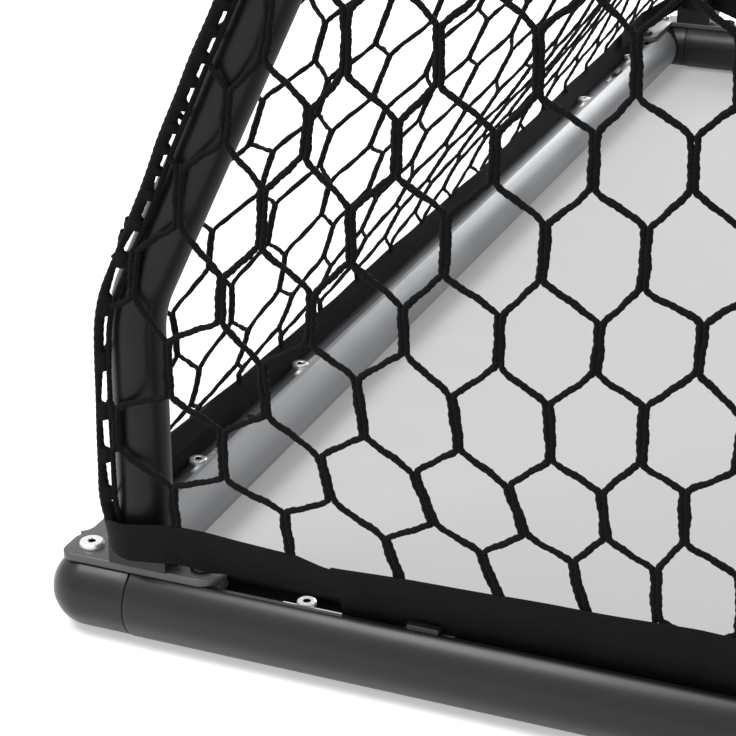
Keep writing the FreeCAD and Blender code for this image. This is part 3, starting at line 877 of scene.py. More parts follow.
@dataclass(frozen=True)
class RoundHead:
    """A low round head or eyelet with a hexagon socket."""

    radius: float = 0.00575
    height: float = 0.0026
    socket: float = 0.0034
    depth: float = 0.0016
    around: int = 36
    socket_shade_rows: int = 3

    def add(self, piece: Piece, matrix: Matrix) -> None:
        """Add one head, its underside at the matrix's origin. U is 1 in its socket, where the finish paints
        shade, and 0 outside.
        """
        turn = ring_angles(self.around)
        flat = self.socket / 2 / np.cos((turn + math.pi / 6) % (math.pi / 3) - math.pi / 6)
        r, h, deep = self.radius, self.height, self.height - self.depth
        profile = ((r * 0.96, 0.0), (r, 0.0003), (r, h * 0.55), (r - 0.0003, h * 0.85), (r - 0.0009, h),
                   (flat + 0.0007, h), (flat + 0.0002, h - 0.0001), (flat, h - 0.0003), (flat, h - 0.0004),
                   (flat, deep), (flat * 0.02, deep - 0.0002))
        c, d, one = np.cos(turn), np.sin(turn), np.ones(self.around)
        rows = np.stack([np.column_stack([radius * c, radius * d, one * z]) for radius, z in profile])
        uv = np.zeros((len(profile), self.around, 2))
        # These rows get U = 1, which the plated finish paints as shade in the socket.
        uv[-self.socket_shade_rows:, :, 0] = 1.0
        piece.grid(through(matrix, rows), uv, close=True)


@dataclass
class SocketScrews:
    """Low round-headed screws with hexagon sockets."""

    finishes: Finishes
    crossing_turn: float = 0.3
    leg_turns: tuple[float, float] = (0.2, 0.9)

    def build(self) -> list[bpy.types.Object]:
        """Make the crossing screws and the leg screws."""
        s, f = SIZES, self.finishes
        crossing, legs = Piece("crossing_screw_heads"), Piece("leg_screw_heads")
        head = RoundHead()
        top = s.flat_b + s.plate_t
        for _, _, matrix in corners():
            seat = matrix @ Matrix.Translation((0, 0, top))
            head.add(crossing, seat @ Matrix.Rotation(self.crossing_turn, 4, "Z"))
            for (x, y), turn in zip(((s.screw_at, 0.0), (0.0, s.screw_at)), self.leg_turns):
                head.add(legs, seat @ Matrix.Translation((x, y, 0)) @ Matrix.Rotation(turn, 4, "Z"))
        for side in Side:
            x = side.value * s.half_width
            head.add(legs, Matrix.Translation((x, s.screw_at - s.half_length, s.rail_z + top)))
            lie = Matrix.Rotation(-math.pi / 2, 4, "X")
            head.add(legs, Matrix.Translation((x, top - s.half_length, s.rail_z + s.screw_at)) @ lie)
        return [crossing.finish(f.plated, ("crossing_screws",), "bright_steel", sharp=30.0, merge=True),
                legs.finish(f.black_steel, ("leg_screws",), "black_steel", sharp=30.0, merge=True)]


@dataclass
class Elbows:
    """The round-cornered castings that join the rails, with a narrow seam at each end."""

    finishes: Finishes
    seam: float = 0.0007
    gap: float = 0.00005
    neck: float = 0.0011
    bevel: float = 0.0003
    edge: float = 0.0004
    trim: float = 1.5
    around: int = 80
    turn_steps: int = 20

    def section(self, flat_inside: bool) -> np.ndarray:
        """The section's outline: distance to the outside of the corner, and towards the slot."""
        s = SIZES
        r, flat, e = s.elbow_r, s.flat_b, self.edge
        reach = math.degrees(math.acos(flat / r)) + self.trim
        round_part = np.array(arc((0.0, 0.0), r, 90.0 - reach, -270.0 + reach, self.around))
        side, shy = math.sqrt(r * r - flat * flat), e * 0.3
        flat_part = np.array([(-side - shy, flat - shy), (-side + e, flat), (side - e, flat),
                              (side + shy, flat - shy)])
        loop = np.concatenate([round_part, flat_part])
        return np.column_stack([-loop[:, 1], loop[:, 0]]) if flat_inside else loop

    def rows(self, flat_inside: bool) -> np.ndarray:
        """Rings of points from one arm's end round the corner to the other's, in the corner's own axes."""
        s = SIZES
        loop = self.section(flat_inside)
        end = s.elbow_reach - self.seam
        stations = ((s.elbow_reach - self.gap, self.neck), (end, self.neck), (end, self.bevel),
                    (end - self.bevel, 0.0))
        rows = [[(at, -q, n) for q, n in loop * (1.0 - inset / s.elbow_r)] for at, inset in stations]
        for t in np.linspace(0.0, math.pi / 2, self.turn_steps):
            rows.append([(-q * math.sin(t), -q * math.cos(t), n) if q > 0 else (-q, -q, n) for q, n in loop])
        for at, inset in reversed(stations):
            rows.append([(-q, at, n) for q, n in loop * (1.0 - inset / s.elbow_r)])
        return np.array(rows)

    def elbow(self, name: str, node: str, matrix: Matrix, flat_inside: bool = False) -> bpy.types.Object:
        """Make one casting.

        Args:
            name: The piece's name.
            node: The frame's node that it stands for.
            matrix: From the corner's own axes to the frame.
            flat_inside: Whether the slots lie inside the corner.

        Returns:
            The casting's object.
        """
        rows = through(matrix, self.rows(flat_inside))
        piece = Piece(name)
        piece.grid(rows, close=True)
        piece.cap(rows[0])
        piece.cap(rows[-1])
        return piece.finish(self.finishes.casting, (node,), "casting", sharp=38.0, merge=True)

    def build(self) -> list[bpy.types.Object]:
        """Make the six castings."""
        s = SIZES
        made = [self.elbow("%s_casting_%s" % (word, side.word), "%s_elbow_%s" % (word, side.word), matrix)
                for word, side, matrix in corners()]
        for side in Side:
            matrix = placed(Vector(Way.BACK.value), Vector(Way.UP.value), Vector((-side.value, 0.0, 0.0)),
                            Vector((side.value * s.half_width, -s.half_length, s.rail_z)))
            made.append(self.elbow("front_casting_" + side.word, "front_elbow_" + side.word, matrix, True))
        return made


@dataclass
class Clips:
    """The net clips in the slots: thin strips with an eyelet or with a hook, some of which slide."""

    finishes: Finishes
    fixed_at: float = 0.110
    spare_at: float = 0.236
    slider_at: float = 0.1650
    ring_shift: float = 0.0033
    ring_out: float = 0.0007
    strip_half: float = 0.0140
    slider_half: float = 0.0118
    strip_z: float = 0.0120
    strip_t: float = 0.0012
    strip_in: float = 0.0018
    strip_out: float = 0.0084
    rib_in: float = 0.0052
    rib_out: float = 0.0062
    rib_t: float = 0.0013
    bevel: float = 0.0003
    hook_shift: float = 0.0012
    hook_half: float = 0.0073
    hook_in: float = 0.0043
    hook_out: float = 0.0088
    hook_low: float = 0.0160
    hook_top: float = 0.0187
    hook_r: float = 0.0009
    hook_edge: float = 0.0004
    hook_gap: float = 0.0001

    def matrix(self, side: Side, rear: bool, at: float) -> Matrix:
        """The axes of a clip: along its slot, towards its free side, and out of the slot."""
        s = SIZES
        along = Vector((-side.value, 0.0, 0.0)) if rear else Vector(Way.FORWARD.value)
        free = Vector(Way.FORWARD.value) if rear else Vector((side.value, 0.0, 0.0))
        corner = Vector((side.value * s.half_width, s.half_length, s.rail_z))
        return placed(along, free, Vector(Way.UP.value), corner + along * at)

    def bar(self, piece: Piece, matrix: Matrix, outline: list[tuple[float, float]], half: float) -> None:
        """Add a bar with softened ends along a clip's slot.

        Args:
            piece: The mesh that gets it.
            matrix: The clip's axes.
            outline: Its section, towards the free side and out of the slot.
            half: Half of its length.
        """
        loop = np.array(outline)
        middle = loop.mean(axis=0)
        away = loop - middle
        size = np.linalg.norm(away, axis=1, keepdims=True)
        soft = self.bevel
        stations = ((-half, soft), (soft - half, 0.0), (half - soft, 0.0), (half, soft))
        rows = np.array([np.column_stack([np.full(len(loop), at), middle + away * (1.0 - inset / size)])
                         for at, inset in stations])
        rows = through(matrix, rows)
        piece.grid(rows, close=True)
        piece.cap(rows[0])
        piece.cap(rows[-1])

    def strip(self, piece: Piece, matrix: Matrix, half: float) -> None:
        """Add a strip with its rib."""
        low, top = self.strip_z, self.strip_z + self.strip_t
        rib = top + self.rib_t
        self.bar(piece, matrix, [(self.strip_in, low), (self.strip_out, low), (self.strip_out, top),
                                 (self.rib_out, top), (self.rib_out, rib), (self.rib_in, rib),
                                 (self.rib_in, top), (self.strip_in, top)], half)

    def hook(self, piece: Piece, matrix: Matrix) -> None:
        """Add a hook that reaches out over the lip."""
        x0, x1, r, e, gap = self.hook_in, self.hook_out, self.hook_r, self.hook_edge, self.hook_gap
        foot = self.strip_z + self.strip_t + gap
        outline = [(x0, foot), (self.rib_in - gap, foot), (self.rib_in - gap, self.hook_low),
                   (x1, self.hook_low)]
        outline += arc((x1 - r, self.hook_top - r), r, 0.0, 90.0, 6)
        outline += [(x0 + e, self.hook_top), (x0, self.hook_top - e)]
        self.bar(piece, matrix @ Matrix.Translation((-self.hook_shift, 0, 0)), outline, self.hook_half)

    def build(self) -> list[bpy.types.Object]:
        """Make the fixed clips and the sliding ones."""
        f = self.finishes
        strips, rings = Piece("fixed_clip_strips"), Piece("fixed_clip_eyelets")
        eyelet = RoundHead(radius=0.0045, height=0.0022, depth=0.0015)
        lift = Matrix.Translation((-self.ring_shift, self.ring_out, self.strip_z + self.strip_t))
        made = []
        for side in Side:
            for rear, at in ((False, self.fixed_at), (True, self.fixed_at), (True, self.spare_at)):
                m = self.matrix(side, rear, at)
                self.strip(strips, m, self.strip_half)
                eyelet.add(rings, m @ lift)
            for word, rear in (("side", False), ("rear", True)):
                ending = "%s_%s" % (word, side.word)
                m = self.matrix(side, rear, self.slider_at)
                strip, hook = Piece("slider_strip_%s_skin" % ending), Piece("slider_hook_%s_skin" % ending)
                self.strip(strip, m, self.slider_half)
                self.hook(hook, m)
                made.append(strip.finish(f.plated, ("slider_strip_" + ending,), "clip_metal", merge=True,
                                         body="clip_" + ending))
                made.append(hook.finish(f.plastic, ("slider_hook_" + ending,), "clip_plastic", merge=True,
                                        body="clip_" + ending))
        made.append(strips.finish(f.plated, ("clip_strips",), "clip_metal", merge=True))
        made.append(rings.finish(f.plated, ("clip_rings",), "clip_metal", sharp=30.0, merge=True))
        return made


@dataclass
class Band:
    """A strip of webbing over a grid of points, thick enough to show its edge."""

    name: str
    surface: np.ndarray
    thickness: float = SIZES.hem_t
    selvedge: float = 0.96
    thin: float = 0.55
    least_area: float = 0.3

    def build(self, finish: bpy.types.Material, node: str, rest: str) -> bpy.types.Object:
        """Make the strip.

        Args:
            finish: Its finish.
            node: The frame's node that it stands for.
            rest: Not used.

        Returns:
            The strip's object.
        """
        p = self.surface
        m = p.shape[1]
        normal = unit(np.cross(np.gradient(p, axis=0), np.gradient(p, axis=1)))
        along = run_along(p[:, m // 2])
        spans = np.linalg.norm(np.diff(p, axis=1), axis=-1).mean(axis=0)
        across = np.concatenate([[0.0], np.cumsum(spans)])
        uv = np.stack(np.meshgrid(along, across, indexing="ij"), axis=-1)
        soft = np.where(np.abs(np.linspace(-1.0, 1.0, m)) > self.selvedge, self.thin, 1.0)[None, :, None]
        half = normal * (self.thickness / 2) * soft
        ring = np.concatenate([p + half, (p - half)[:, ::-1]], axis=1)
        piece = Piece(self.name)
        piece.grid(ring, np.concatenate([uv, uv[:, ::-1]], axis=1), close=True)
        piece.cap(ring[0])
        piece.cap(ring[-1][::-1])
        obj = piece.finish(finish, (node,), "webbing", sharp=60.0, merge=True)
        return obj


def waver(t: np.ndarray, seed: float) -> np.ndarray:
    """A gentle uneven wave of height 1 along a length in metres."""
    return (np.sin(t * 21.0 + seed) * 0.5 + np.sin(t * 47.0 + seed * 2.3) * 0.3
            + np.sin(t * 103.0 + seed * 0.7) * 0.2)


@dataclass
class Webbing:
    """The webbing strips that hold the net's edges in the slots."""

    finishes: Finishes
    across: int = 9
    step: float = 0.004
    tuck: float = -0.0008
    past_net: float = 0.0012
    clear_end: float = 0.072
    side_start: float = 0.1245
    side_rise: float = 0.0034
    end_drop: float = 0.0015
    foot_r: float = 0.0182
    rear_tuck: float = 0.0050
    rear_free: float = 0.0062
    rear_edge: float = 0.0350
    rear_sink: float = 0.0085
    side_wave: float = 0.0011
    edge_wave: float = 0.0005
    lean_wave: float = 0.0004

    def straight(self, name: str, start: tuple[float, float, float], stop: tuple[float, float, float],
                 slot: Way, lean: np.ndarray, offsets: tuple[float, float], rest: str, seed: float,
                 edge: float = SIZES.hem_out, rise: float = 0.0, sink: float = 0.0) -> bpy.types.Object:
        """Make a strip along a rail.

        Args:
            name: The frame's node that it stands for.
            start: The rail's axis at one end.
            stop: The rail's axis at the other end.
            slot: The direction that the slot faces.
            lean: The direction that the strip leans in.
            offsets: Side offsets of its tucked edge and its free edge.
            rest: The rail that holds it.
            seed: Shifts its waves.
            edge: Height of its free edge above the rail's axis.
            rise: How much higher the free edge gets along its first stretch.
            sink: How much lower it is in the middle of its length.

        Returns:
            The strip's object.
        """
        span = np.array(stop) - np.array(start)
        length = float(np.linalg.norm(span))
        t = np.linspace(0.0, length, max(24, int(length / self.step)))
        v = np.linspace(0.0, 1.0, self.across)
        wave = waver(t, seed)[:, None] * (self.side_wave * v ** 1.5)[None, :]
        side = offsets[0] + (offsets[1] - offsets[0]) * v[None, :] + wave
        lift = np.interp(t, (0.0, 0.07, 0.16, 0.30), (-self.end_drop if rise else 0.0, 0.0, rise, 0.0))
        lift = lift - sink * np.maximum(0.0, np.sin(math.pi * t / length)) ** 0.8
        top = edge + lift + waver(t, seed + 2.0) * self.edge_wave
        high = SIZES.hem_in + (top[:, None] - SIZES.hem_in) * v[None, :]
        base = np.array(start) + span * (t / length)[:, None]
        surface = base[:, None, :] + lean * side[..., None] + slot.vec * high[..., None]
        return Band(name + "_strip", surface).build(self.finishes.webbing, name, rest)

    def corner_path(self) -> tuple[np.ndarray, np.ndarray, np.ndarray, np.ndarray]:
        """The corner strip's top edge seen from above, its lean, top and bottom heights.

        Returns:
            Points for the right half, how far the low edge leans in, top and bottom heights.
        """
        s = SIZES
        foot_y = s.half_length - s.foot_at
        u = np.linspace(0.130, s.foot_at, 56)
        out = np.interp(u, (s.foot_at, 0.050, 0.130), (self.foot_r, s.net_off + 0.0008, s.net_off + 0.0006))
        side = np.column_stack([s.half_width + out, s.half_length - u])
        side_lean = np.interp(u, (0.030, 0.046, 0.068, 0.130), (0.0028, 0.0034, 0.0105, 0.0110))
        side_top = np.interp(u, (0.0285, 0.050, 0.064, 0.081, 0.108, 0.120, 0.130),
                             (0.0644, 0.0668, 0.0668, 0.0657, 0.0647, 0.0614, 0.0600))
        side_low = np.interp(u, (0.030, 0.048, 0.064, 0.130), (0.0455, 0.0458, 0.0416, 0.0413))
        t = np.radians(np.linspace(4.0, 90.0, 26))
        bend = np.column_stack([s.half_width + self.foot_r * np.cos(t), foot_y + self.foot_r * np.sin(t)])
        bend_top = np.interp(t, (0.0, 1.57), (0.0643, 0.0620))
        bend_low = np.interp(t, (0.0, 1.57), (0.0455, 0.0470))
        w = np.linspace(0.004, s.lap_to, 44)
        ease = np.clip(w / s.lap_from, 0.0, 1.0) ** 1.3
        start_y, lap_y = foot_y + self.foot_r, s.half_length + 0.0024
        lap = np.column_stack([s.half_width - w, start_y + (lap_y - start_y) * ease])
        lap_top = np.interp(w, (0.0, 0.06, s.lap_to), (0.0620, 0.0585, 0.0548))
        lap_low = np.interp(w, (0.0, 0.06, s.lap_to), (0.0470, 0.0452, 0.0440))
        return (np.concatenate([side, bend, lap]),
                np.concatenate([side_lean, np.full(len(t), 0.0026), np.full(len(w), 0.0008)]),
                np.concatenate([side_top, bend_top, lap_top]), np.concatenate([side_low, bend_low, lap_low]))

    def corner(self, side: Side) -> bpy.types.Object:
        """Make the strip that goes round the outside of an upright's foot."""
        path, lean, top, low = self.corner_path()
        run = run_along(path)
        tangent = unit(np.gradient(path, axis=0))
        inward = np.column_stack([-tangent[:, 1], tangent[:, 0]])
        v = np.linspace(0.0, 1.0, self.across)
        shift = lean[:, None] * (1.0 - v)[None, :] + waver(run, 1.7)[:, None] * self.lean_wave
        flat = path[:, None, :] + inward[:, None, :] * shift[..., None]
        top = top + waver(run, 4.1) * self.edge_wave
        z = low[:, None] + (top - low)[:, None] * v[None, :]
        surface = np.concatenate([flat, z[..., None]], axis=-1)
        surface[..., 0] *= side.value
        if side is Side.LEFT:
            surface = surface[:, ::-1]
        name = "webbing_corner_" + side.word
        return Band(name + "_strip", surface).build(self.finishes.corner_webbing, name,
                                                     "foot_socket_" + side.word)

    def build(self) -> list[bpy.types.Object]:
        """Make every strip."""
        s, clear = SIZES, self.clear_end
        reach_x = s.half_width - clear
        back, front, low, top = s.half_length, -s.half_length, s.rail_z, s.crossbar_z
        slope = (self.tuck, s.net_off + self.past_net)
        made = [self.straight("webbing_rear", (-reach_x, back, low), (reach_x, back, low), Way.UP,
                              Way.BACK.vec, (self.rear_tuck, self.rear_free), "rear_rail_skin", 0.4,
                              self.rear_edge, sink=self.rear_sink),
                self.straight("webbing_crossbar", (-reach_x, front, top), (reach_x, front, top), Way.BACK,
                              Way.DOWN.vec, (self.tuck, s.foot_at - s.net_off), "crossbar_skin", 2.9)]
        for side in Side:
            x = side.value * s.half_width
            out = np.array([side.value, 0.0, 0.0])
            made.append(self.straight("webbing_side_" + side.word, (x, back - self.side_start, low),
                                      (x, front + clear, low), Way.UP, out, slope,
                                      "side_rail_%s_skin" % side.word, 3.3, rise=self.side_rise))
            made.append(self.straight("webbing_post_" + side.word, (x, front, low + clear),
                                      (x, front, top - clear), Way.BACK, out, slope,
                                      "front_post_%s_skin" % side.word, 5.1))
            made.append(self.corner(side))
        return made


@dataclass
class Lattice:
    """Where the legs of a hexagonal net lie in its panel, in metres."""

    width: float
    pitch: float
    origin: tuple[float, float]

    def wobble(self, c: float, row: int) -> tuple[float, float]:
        """How far a leg lies off its even place, across and up, from -1 to 1."""
        return math.sin(c * 12.9 + row * 78.2), math.sin(c * 39.4 + row * 11.1)

    def ends(self, column: int, row: int) -> tuple[np.ndarray, np.ndarray]:
        """The lower and upper end of a leg."""
        raise NotImplementedError


@dataclass
class SideLattice(Lattice):
    """The side net's legs: even over the panel, gathered at the hem and drawn up to the upright."""

    gathered_rows: float = 3.0
    gather: float = 0.00091
    hem_forward: float = 0.00158
    hem_lift: float = 0.00091
    row_back: float = 0.00186
    row_rise: float = 0.0019
    rise_fade: float = 0.00053
    row_bow: float = 0.0010
    bow_fade: float = 0.0001
    pull_back: float = 0.00055
    pull_near: float = 0.00025
    even_leg: float = 0.0236
    odd_leg: float = 0.0206
    fan: float = 0.38
    fan_bow: float = 0.085
    upper_lean: float = -0.12
    uneven: float = 0.0006

    def ends(self, column: int, row: int) -> tuple[np.ndarray, np.ndarray]:
        """The lower and upper end of a leg, from its distance forward and its height."""
        c = column - (0.5 if row % 2 else 0.0)
        near = min(max(c, -3.5), 2.5)
        low = max(0.0, self.gathered_rows - row)
        high = min(max(0.0, row - self.gathered_rows), 3.0)
        back, ahead = max(0.0, -max(c, -3.0)), max(0.0, near)
        u = (self.origin[0] + self.width * c - self.row_back * min(row, 9)
             + (self.pull_back * back ** 2 - self.pull_near * ahead ** 2) * high ** 1.3
             + self.hem_forward * low ** 2 - self.gather * low * near ** 2)
        z = (self.origin[1] + self.pitch * row + (self.row_rise - self.rise_fade * high) * near
             + (self.row_bow - self.bow_fade * high) * near ** 2 + self.hem_lift * low ** 2)
        slope = max(0.05, self.fan - self.fan_bow * (c + 0.3) ** 2)
        share = (1.0, 1.0, 0.3)[row] if 0 <= row < 3 else 0.0
        upper = self.upper_lean if 3 <= row <= 6 and c < -1.2 else 0.0
        leg = self.odd_leg if row % 2 else self.even_leg
        half = leg / 2 * (1.0 + 0.06 * math.sin(row * 1.9 + c * 2.6))
        across, up = self.wobble(c, row)
        u, z = u + self.uneven * across, z + self.uneven * up
        lean = (slope * share + upper) * half + 0.0005 * math.sin(c * 7.1 + row * 23.0)
        return np.array([u + lean, z - half]), np.array([u - lean, z + half])


@dataclass
class RearLattice(Lattice):
    """The rear net's legs, in rows that sink a little and columns that lean."""

    leg: float = 0.0228
    row_sink: float = -0.0022
    column_lean: float = -0.00545
    leg_lean: float = -0.0070
    uneven_across: float = 0.0011
    uneven_up: float = 0.0010

    def ends(self, column: int, row: int) -> tuple[np.ndarray, np.ndarray]:
        """The lower and upper end of a leg, from its place across and its distance up the net."""
        c = column - (0.5 if row % 2 else 0.0)
        across, up = self.wobble(c, row)
        a = self.origin[0] + self.width * c + self.column_lean * row + self.uneven_across * across
        run = self.origin[1] + self.pitch * row + self.row_sink * c + self.uneven_up * up
        half, lean = self.leg / 2 * (1.0 + 0.1 * math.sin(row * 1.3 + c * 3.1)), self.leg_lean / 2
        return np.array([a - lean, run - half]), np.array([a + lean, run + half])


def lumps(run: np.ndarray, sides: int, share: float, seed: float) -> np.ndarray:
    """Radius factors of knitted twine, which is lumpy along its length and round it.

    Args:
        run: Distances along it.
        sides: Points in a ring.
        share: How much it swells, as a share of its radius.
        seed: Shifts the lumps.

    Returns:
        Array of places and sides.
    """
    return 1.0 + share * np.sin(run[:, None] * 2 * math.pi / LUMP + 2 * ring_angles(sides) + seed)


@dataclass
class NetPanel:
    """A hexagonal net of paired twines over a surface."""

    name: str
    lattice: Lattice
    columns: range
    rows: range
    twine_r: float = 0.00142
    pair: float = 0.00104
    step: float = 0.0010
    sides: int = 9
    shortest: int = 4
    lumpy: float = 0.12
    sway: float = 0.00022
    fine_sway: float = 0.00016

    def twine(self, column: int, left: bool) -> np.ndarray:
        """The panel points of one twine, which zigzags between two columns of legs.

        Args:
            column: The column that it follows on even rows.
            left: Whether it is the left one of the pair there.

        Returns:
            Array of panel points, evenly dense.
        """
        points = []
        previous = None
        for row in self.rows:
            if left:
                col = column
                sign = -1.0 if row % 2 == 0 else 1.0
            else:
                col = column if row % 2 == 0 else column + 1
                sign = 1.0 if row % 2 == 0 else -1.0
            low, high = self.lattice.ends(col, row)
            along = unit(high - low)
            aside = np.array([along[1], -along[0]]) * sign * self.pair
            a, b = low + aside, high + aside
            if previous is not None:
                points.append(self.curve(previous[0], previous[1], a, along))
            count = max(3, int(np.linalg.norm(b - a) / self.step))
            t = np.linspace(0.0, 1.0, count, endpoint=False)[:, None]
            points.append(a + (b - a) * t)
            previous = (b, along)
        return np.concatenate(points)

    def curve(self, a: np.ndarray, ta: np.ndarray, b: np.ndarray, tb: np.ndarray) -> np.ndarray:
        """A slanted stretch that leaves and meets the legs along them."""
        gap = float(np.linalg.norm(b - a))
        t = np.linspace(0.0, 1.0, max(4, int(gap / self.step)), endpoint=False)[:, None]
        pull = gap * 0.30
        return ((2 * t ** 3 - 3 * t ** 2 + 1) * a + (t ** 3 - 2 * t ** 2 + t) * ta * pull
                + (3 * t ** 2 - 2 * t ** 3) * b + (t ** 3 - t ** 2) * tb * pull)

    def inside(self, points: np.ndarray) -> np.ndarray:
        """Whether panel points belong to the panel."""
        raise NotImplementedError

    def on_surface(self, points: np.ndarray) -> tuple[np.ndarray, np.ndarray]:
        """The places and outward normals of panel points."""
        raise NotImplementedError

    def build(self, finish: bpy.types.Material, nodes: tuple[str, ...]) -> bpy.types.Object:
        """Make the net.

        Args:
            finish: The twine's finish.
            nodes: The frame's nodes that it stands for.

        Returns:
            The net's object.
        """
        piece = Piece(self.name)
        for column in self.columns:
            for left in (True, False):
                self.add_twine(piece, self.twine(column, left), 0.37 * column + left)
        return piece.finish(finish, nodes, "net", sharp=180.0)

    def add_twine(self, piece: Piece, line: np.ndarray, seed: float) -> None:
        """Add the stretches of a twine that lie inside the panel."""
        keep = self.inside(line)
        edges = np.flatnonzero(np.diff(np.concatenate([[0], keep.astype(int), [0]])))
        for first, last in zip(edges[::2], edges[1::2]):
            if last - first < self.shortest:
                continue
            place, normal = self.on_surface(line[first:last])
            self.add_tube(piece, place, normal, seed)

    def add_tube(self, piece: Piece, place: np.ndarray, normal: np.ndarray, seed: float) -> None:
        """Add one stretch of twine, slightly lumpy as knitted twine is."""
        run = run_along(place)
        side = unit(np.cross(unit(np.gradient(place, axis=0)), normal))
        sway = np.sin(run * 610.0 + seed * 5.0) * self.fine_sway + np.sin(run * 270.0 + seed) * self.sway
        slow = 1.0 + 0.07 * np.sin(run * 190.0 + seed * 3.0) + 0.05 * np.sin(run * 431.0 + seed * 1.7)
        radii = self.twine_r * lumps(run, self.sides, self.lumpy, seed) * slow[:, None]
        piece.strand(tube_around(place + side * sway[:, None], normal, radii, self.sides), run + seed)


@dataclass
class SideNet(NetPanel):
    """The flat net on one side, from the upright to the front post."""

    side: Side = Side.LEFT
    margin: float = 0.003

    def inside(self, points: np.ndarray) -> np.ndarray:
        """Whether panel points lie between the webbing, the upright's corner and the front."""
        s = SIZES
        u, z = points[:, 0], points[:, 1]
        hem = np.interp(u, (0.0, 0.11, 0.13, 0.20, 0.28, 0.40),
                        (0.0615, 0.0610, 0.0575, 0.0610, 0.0640, 0.0610))
        front = 2 * s.half_length - s.hem_out + self.margin
        return (z > hem) & (z < s.roof_z - self.margin) & (u > SEAM.forward(z)) & (u < front)

    def on_surface(self, points: np.ndarray) -> tuple[np.ndarray, np.ndarray]:
        """Place panel points in the side plane, with a slight billow and drawn in at the hem."""
        s = SIZES
        u, z = points[:, 0], points[:, 1]
        billow = 0.0009 * np.sin(u * 17.0 + 0.4) * np.sin(z * 9.0)
        billow -= 0.0016 * np.clip((0.075 - z) / 0.015, 0.0, 1.0)
        x = self.side.value * (s.half_width + s.net_off + billow)
        place = np.column_stack([x, s.half_length - u, z])
        return place, np.tile(np.array([float(self.side.value), 0.0, 0.0]), (len(u), 1))


class SeamLine:
    """The seam of the side net and the rear net, along the outer rear side of an upright."""

    def __init__(self, step: float = 0.0009, inner_r: float = 0.0012) -> None:
        """Sample the seam, which is drawn in where the upright bends.

        Args:
            step: Rough distance between samples.
            inner_r: Radius of its inner cord.
        """
        s = SIZES
        path = UprightPath(0.0, step)
        keep = (path.axis[:, 1] > s.hem_top - 0.006) & (path.axis[:, 0] > s.hem_out - s.half_length)
        self.axis, self.normal = path.axis[keep], path.normal[keep]
        self.run = path.length[keep] - path.length[keep][0]
        self.inner_r = inner_r
        height = self.axis[:, 1]
        self.edge = np.interp(height, (0.080, 0.120, 0.150, 0.175, 0.215, 0.235, 0.270, 0.330),
                              (0.0149, 0.0140, 0.0130, 0.0129, 0.0136, 0.0150, 0.0157, 0.0153))
        self.inner_at = self.edge - np.interp(height, (0.080, 0.135, 0.180, 0.240, 0.300),
                                              (0.0078, 0.0068, 0.0076, 0.0079, 0.0082))
        heights = (0.080, 0.095, 0.120, 0.135, 0.150, 0.166, 0.178, 0.190, 0.200, 0.270)
        slits = (0.0016, 0.0029, 0.0032, 0.0020, 0.0014, 0.0014, 0.0032, 0.0032, 0.0018, 0.0013)
        self.slit = np.interp(height, heights, slits)
        self.bundle = self.edge - self.inner_at - self.slit - inner_r
        self.inner = self.axis + self.normal * (self.inner_at + inner_r / 2)[:, None]

    def forward(self, z: np.ndarray) -> np.ndarray:
        """Distance forward from the rear rail's axis, at heights."""
        rising = np.maximum.accumulate(self.inner[:, 1])
        keep = np.concatenate([[True], np.diff(rising) > 1e-9])
        return SIZES.half_length - np.interp(z, rising[keep], self.inner[keep, 0])


SEAM = SeamLine()


class RearSurface:
    """The rear net's surface: it follows the uprights at its sides and draws in between them."""

    foot_out: float = 0.0055
    foot_z: float = 0.0535
    top_in: float = 0.002
    half_span: float = 0.515
    side_at: float = 0.492
    side_width: float = 0.052
    held_run: float = 0.09
    tail_slope: float = 0.08

    def __init__(self, bow: float = 1.25, ease: float = 0.93) -> None:
        """Sample the seam's profile and the straight line that the middle tends to.

        Args:
            bow: How far the middle draws in, 1 is the straight line from hem to hem.
            ease: How fast the line's height grows at its foot.
        """
        s = SIZES
        path = UprightPath(s.net_back)
        self.start = np.array([s.half_length + self.foot_out, self.foot_z])
        self.end = np.array([s.hem_out - s.half_length - self.top_in, path.line[-1, 1]])
        keep = (path.line[:, 1] > self.start[1]) & (path.line[:, 0] > self.end[0])
        self.seam, self.normal = path.line[keep], path.normal[keep]
        self.run = path.length[keep] - path.length[keep][0]
        self.bow, self.ease = bow, ease
        self.slow = (ease - (self.end[1] - self.start[1]) / self.run[-1]) / self.run[-1]

    def at(self, a: np.ndarray, run: np.ndarray) -> tuple[np.ndarray, np.ndarray]:
        """Places and outward normals.

        Args:
            a: Places across.
            run: Distances up from the rear rail's hem.

        Returns:
            Points and normals.
        """
        y, z, ny, nz = (np.interp(run, self.run, column) for column in
                        (self.seam[:, 0], self.seam[:, 1], self.normal[:, 0], self.normal[:, 1]))
        line_z = self.start[1] + np.maximum(run, 0.0) * (self.ease - self.slow * run)
        share = (line_z - self.start[1]) / (self.end[1] - self.start[1])
        line_y = self.start[0] + (self.end[0] - self.start[0]) * share
        pull = self.bow * np.cos(np.clip(a / self.half_span, -1.0, 1.0) * math.pi / 2)
        edge = np.clip((self.side_at - np.abs(a)) / self.side_width, 0.0, 1.0)
        held = np.clip(1.0 - run / self.held_run, 0.0, 1.0) ** 2
        pull = pull * (1.0 - held) + eased(edge) * held
        tail = np.minimum(run, 0.0)
        place = np.column_stack([a, y + (line_y - y) * pull - tail * self.tail_slope,
                                 z + (line_z - z) * pull + tail])
        return place, np.column_stack([np.zeros(len(a)), ny, nz])


REAR = RearSurface()


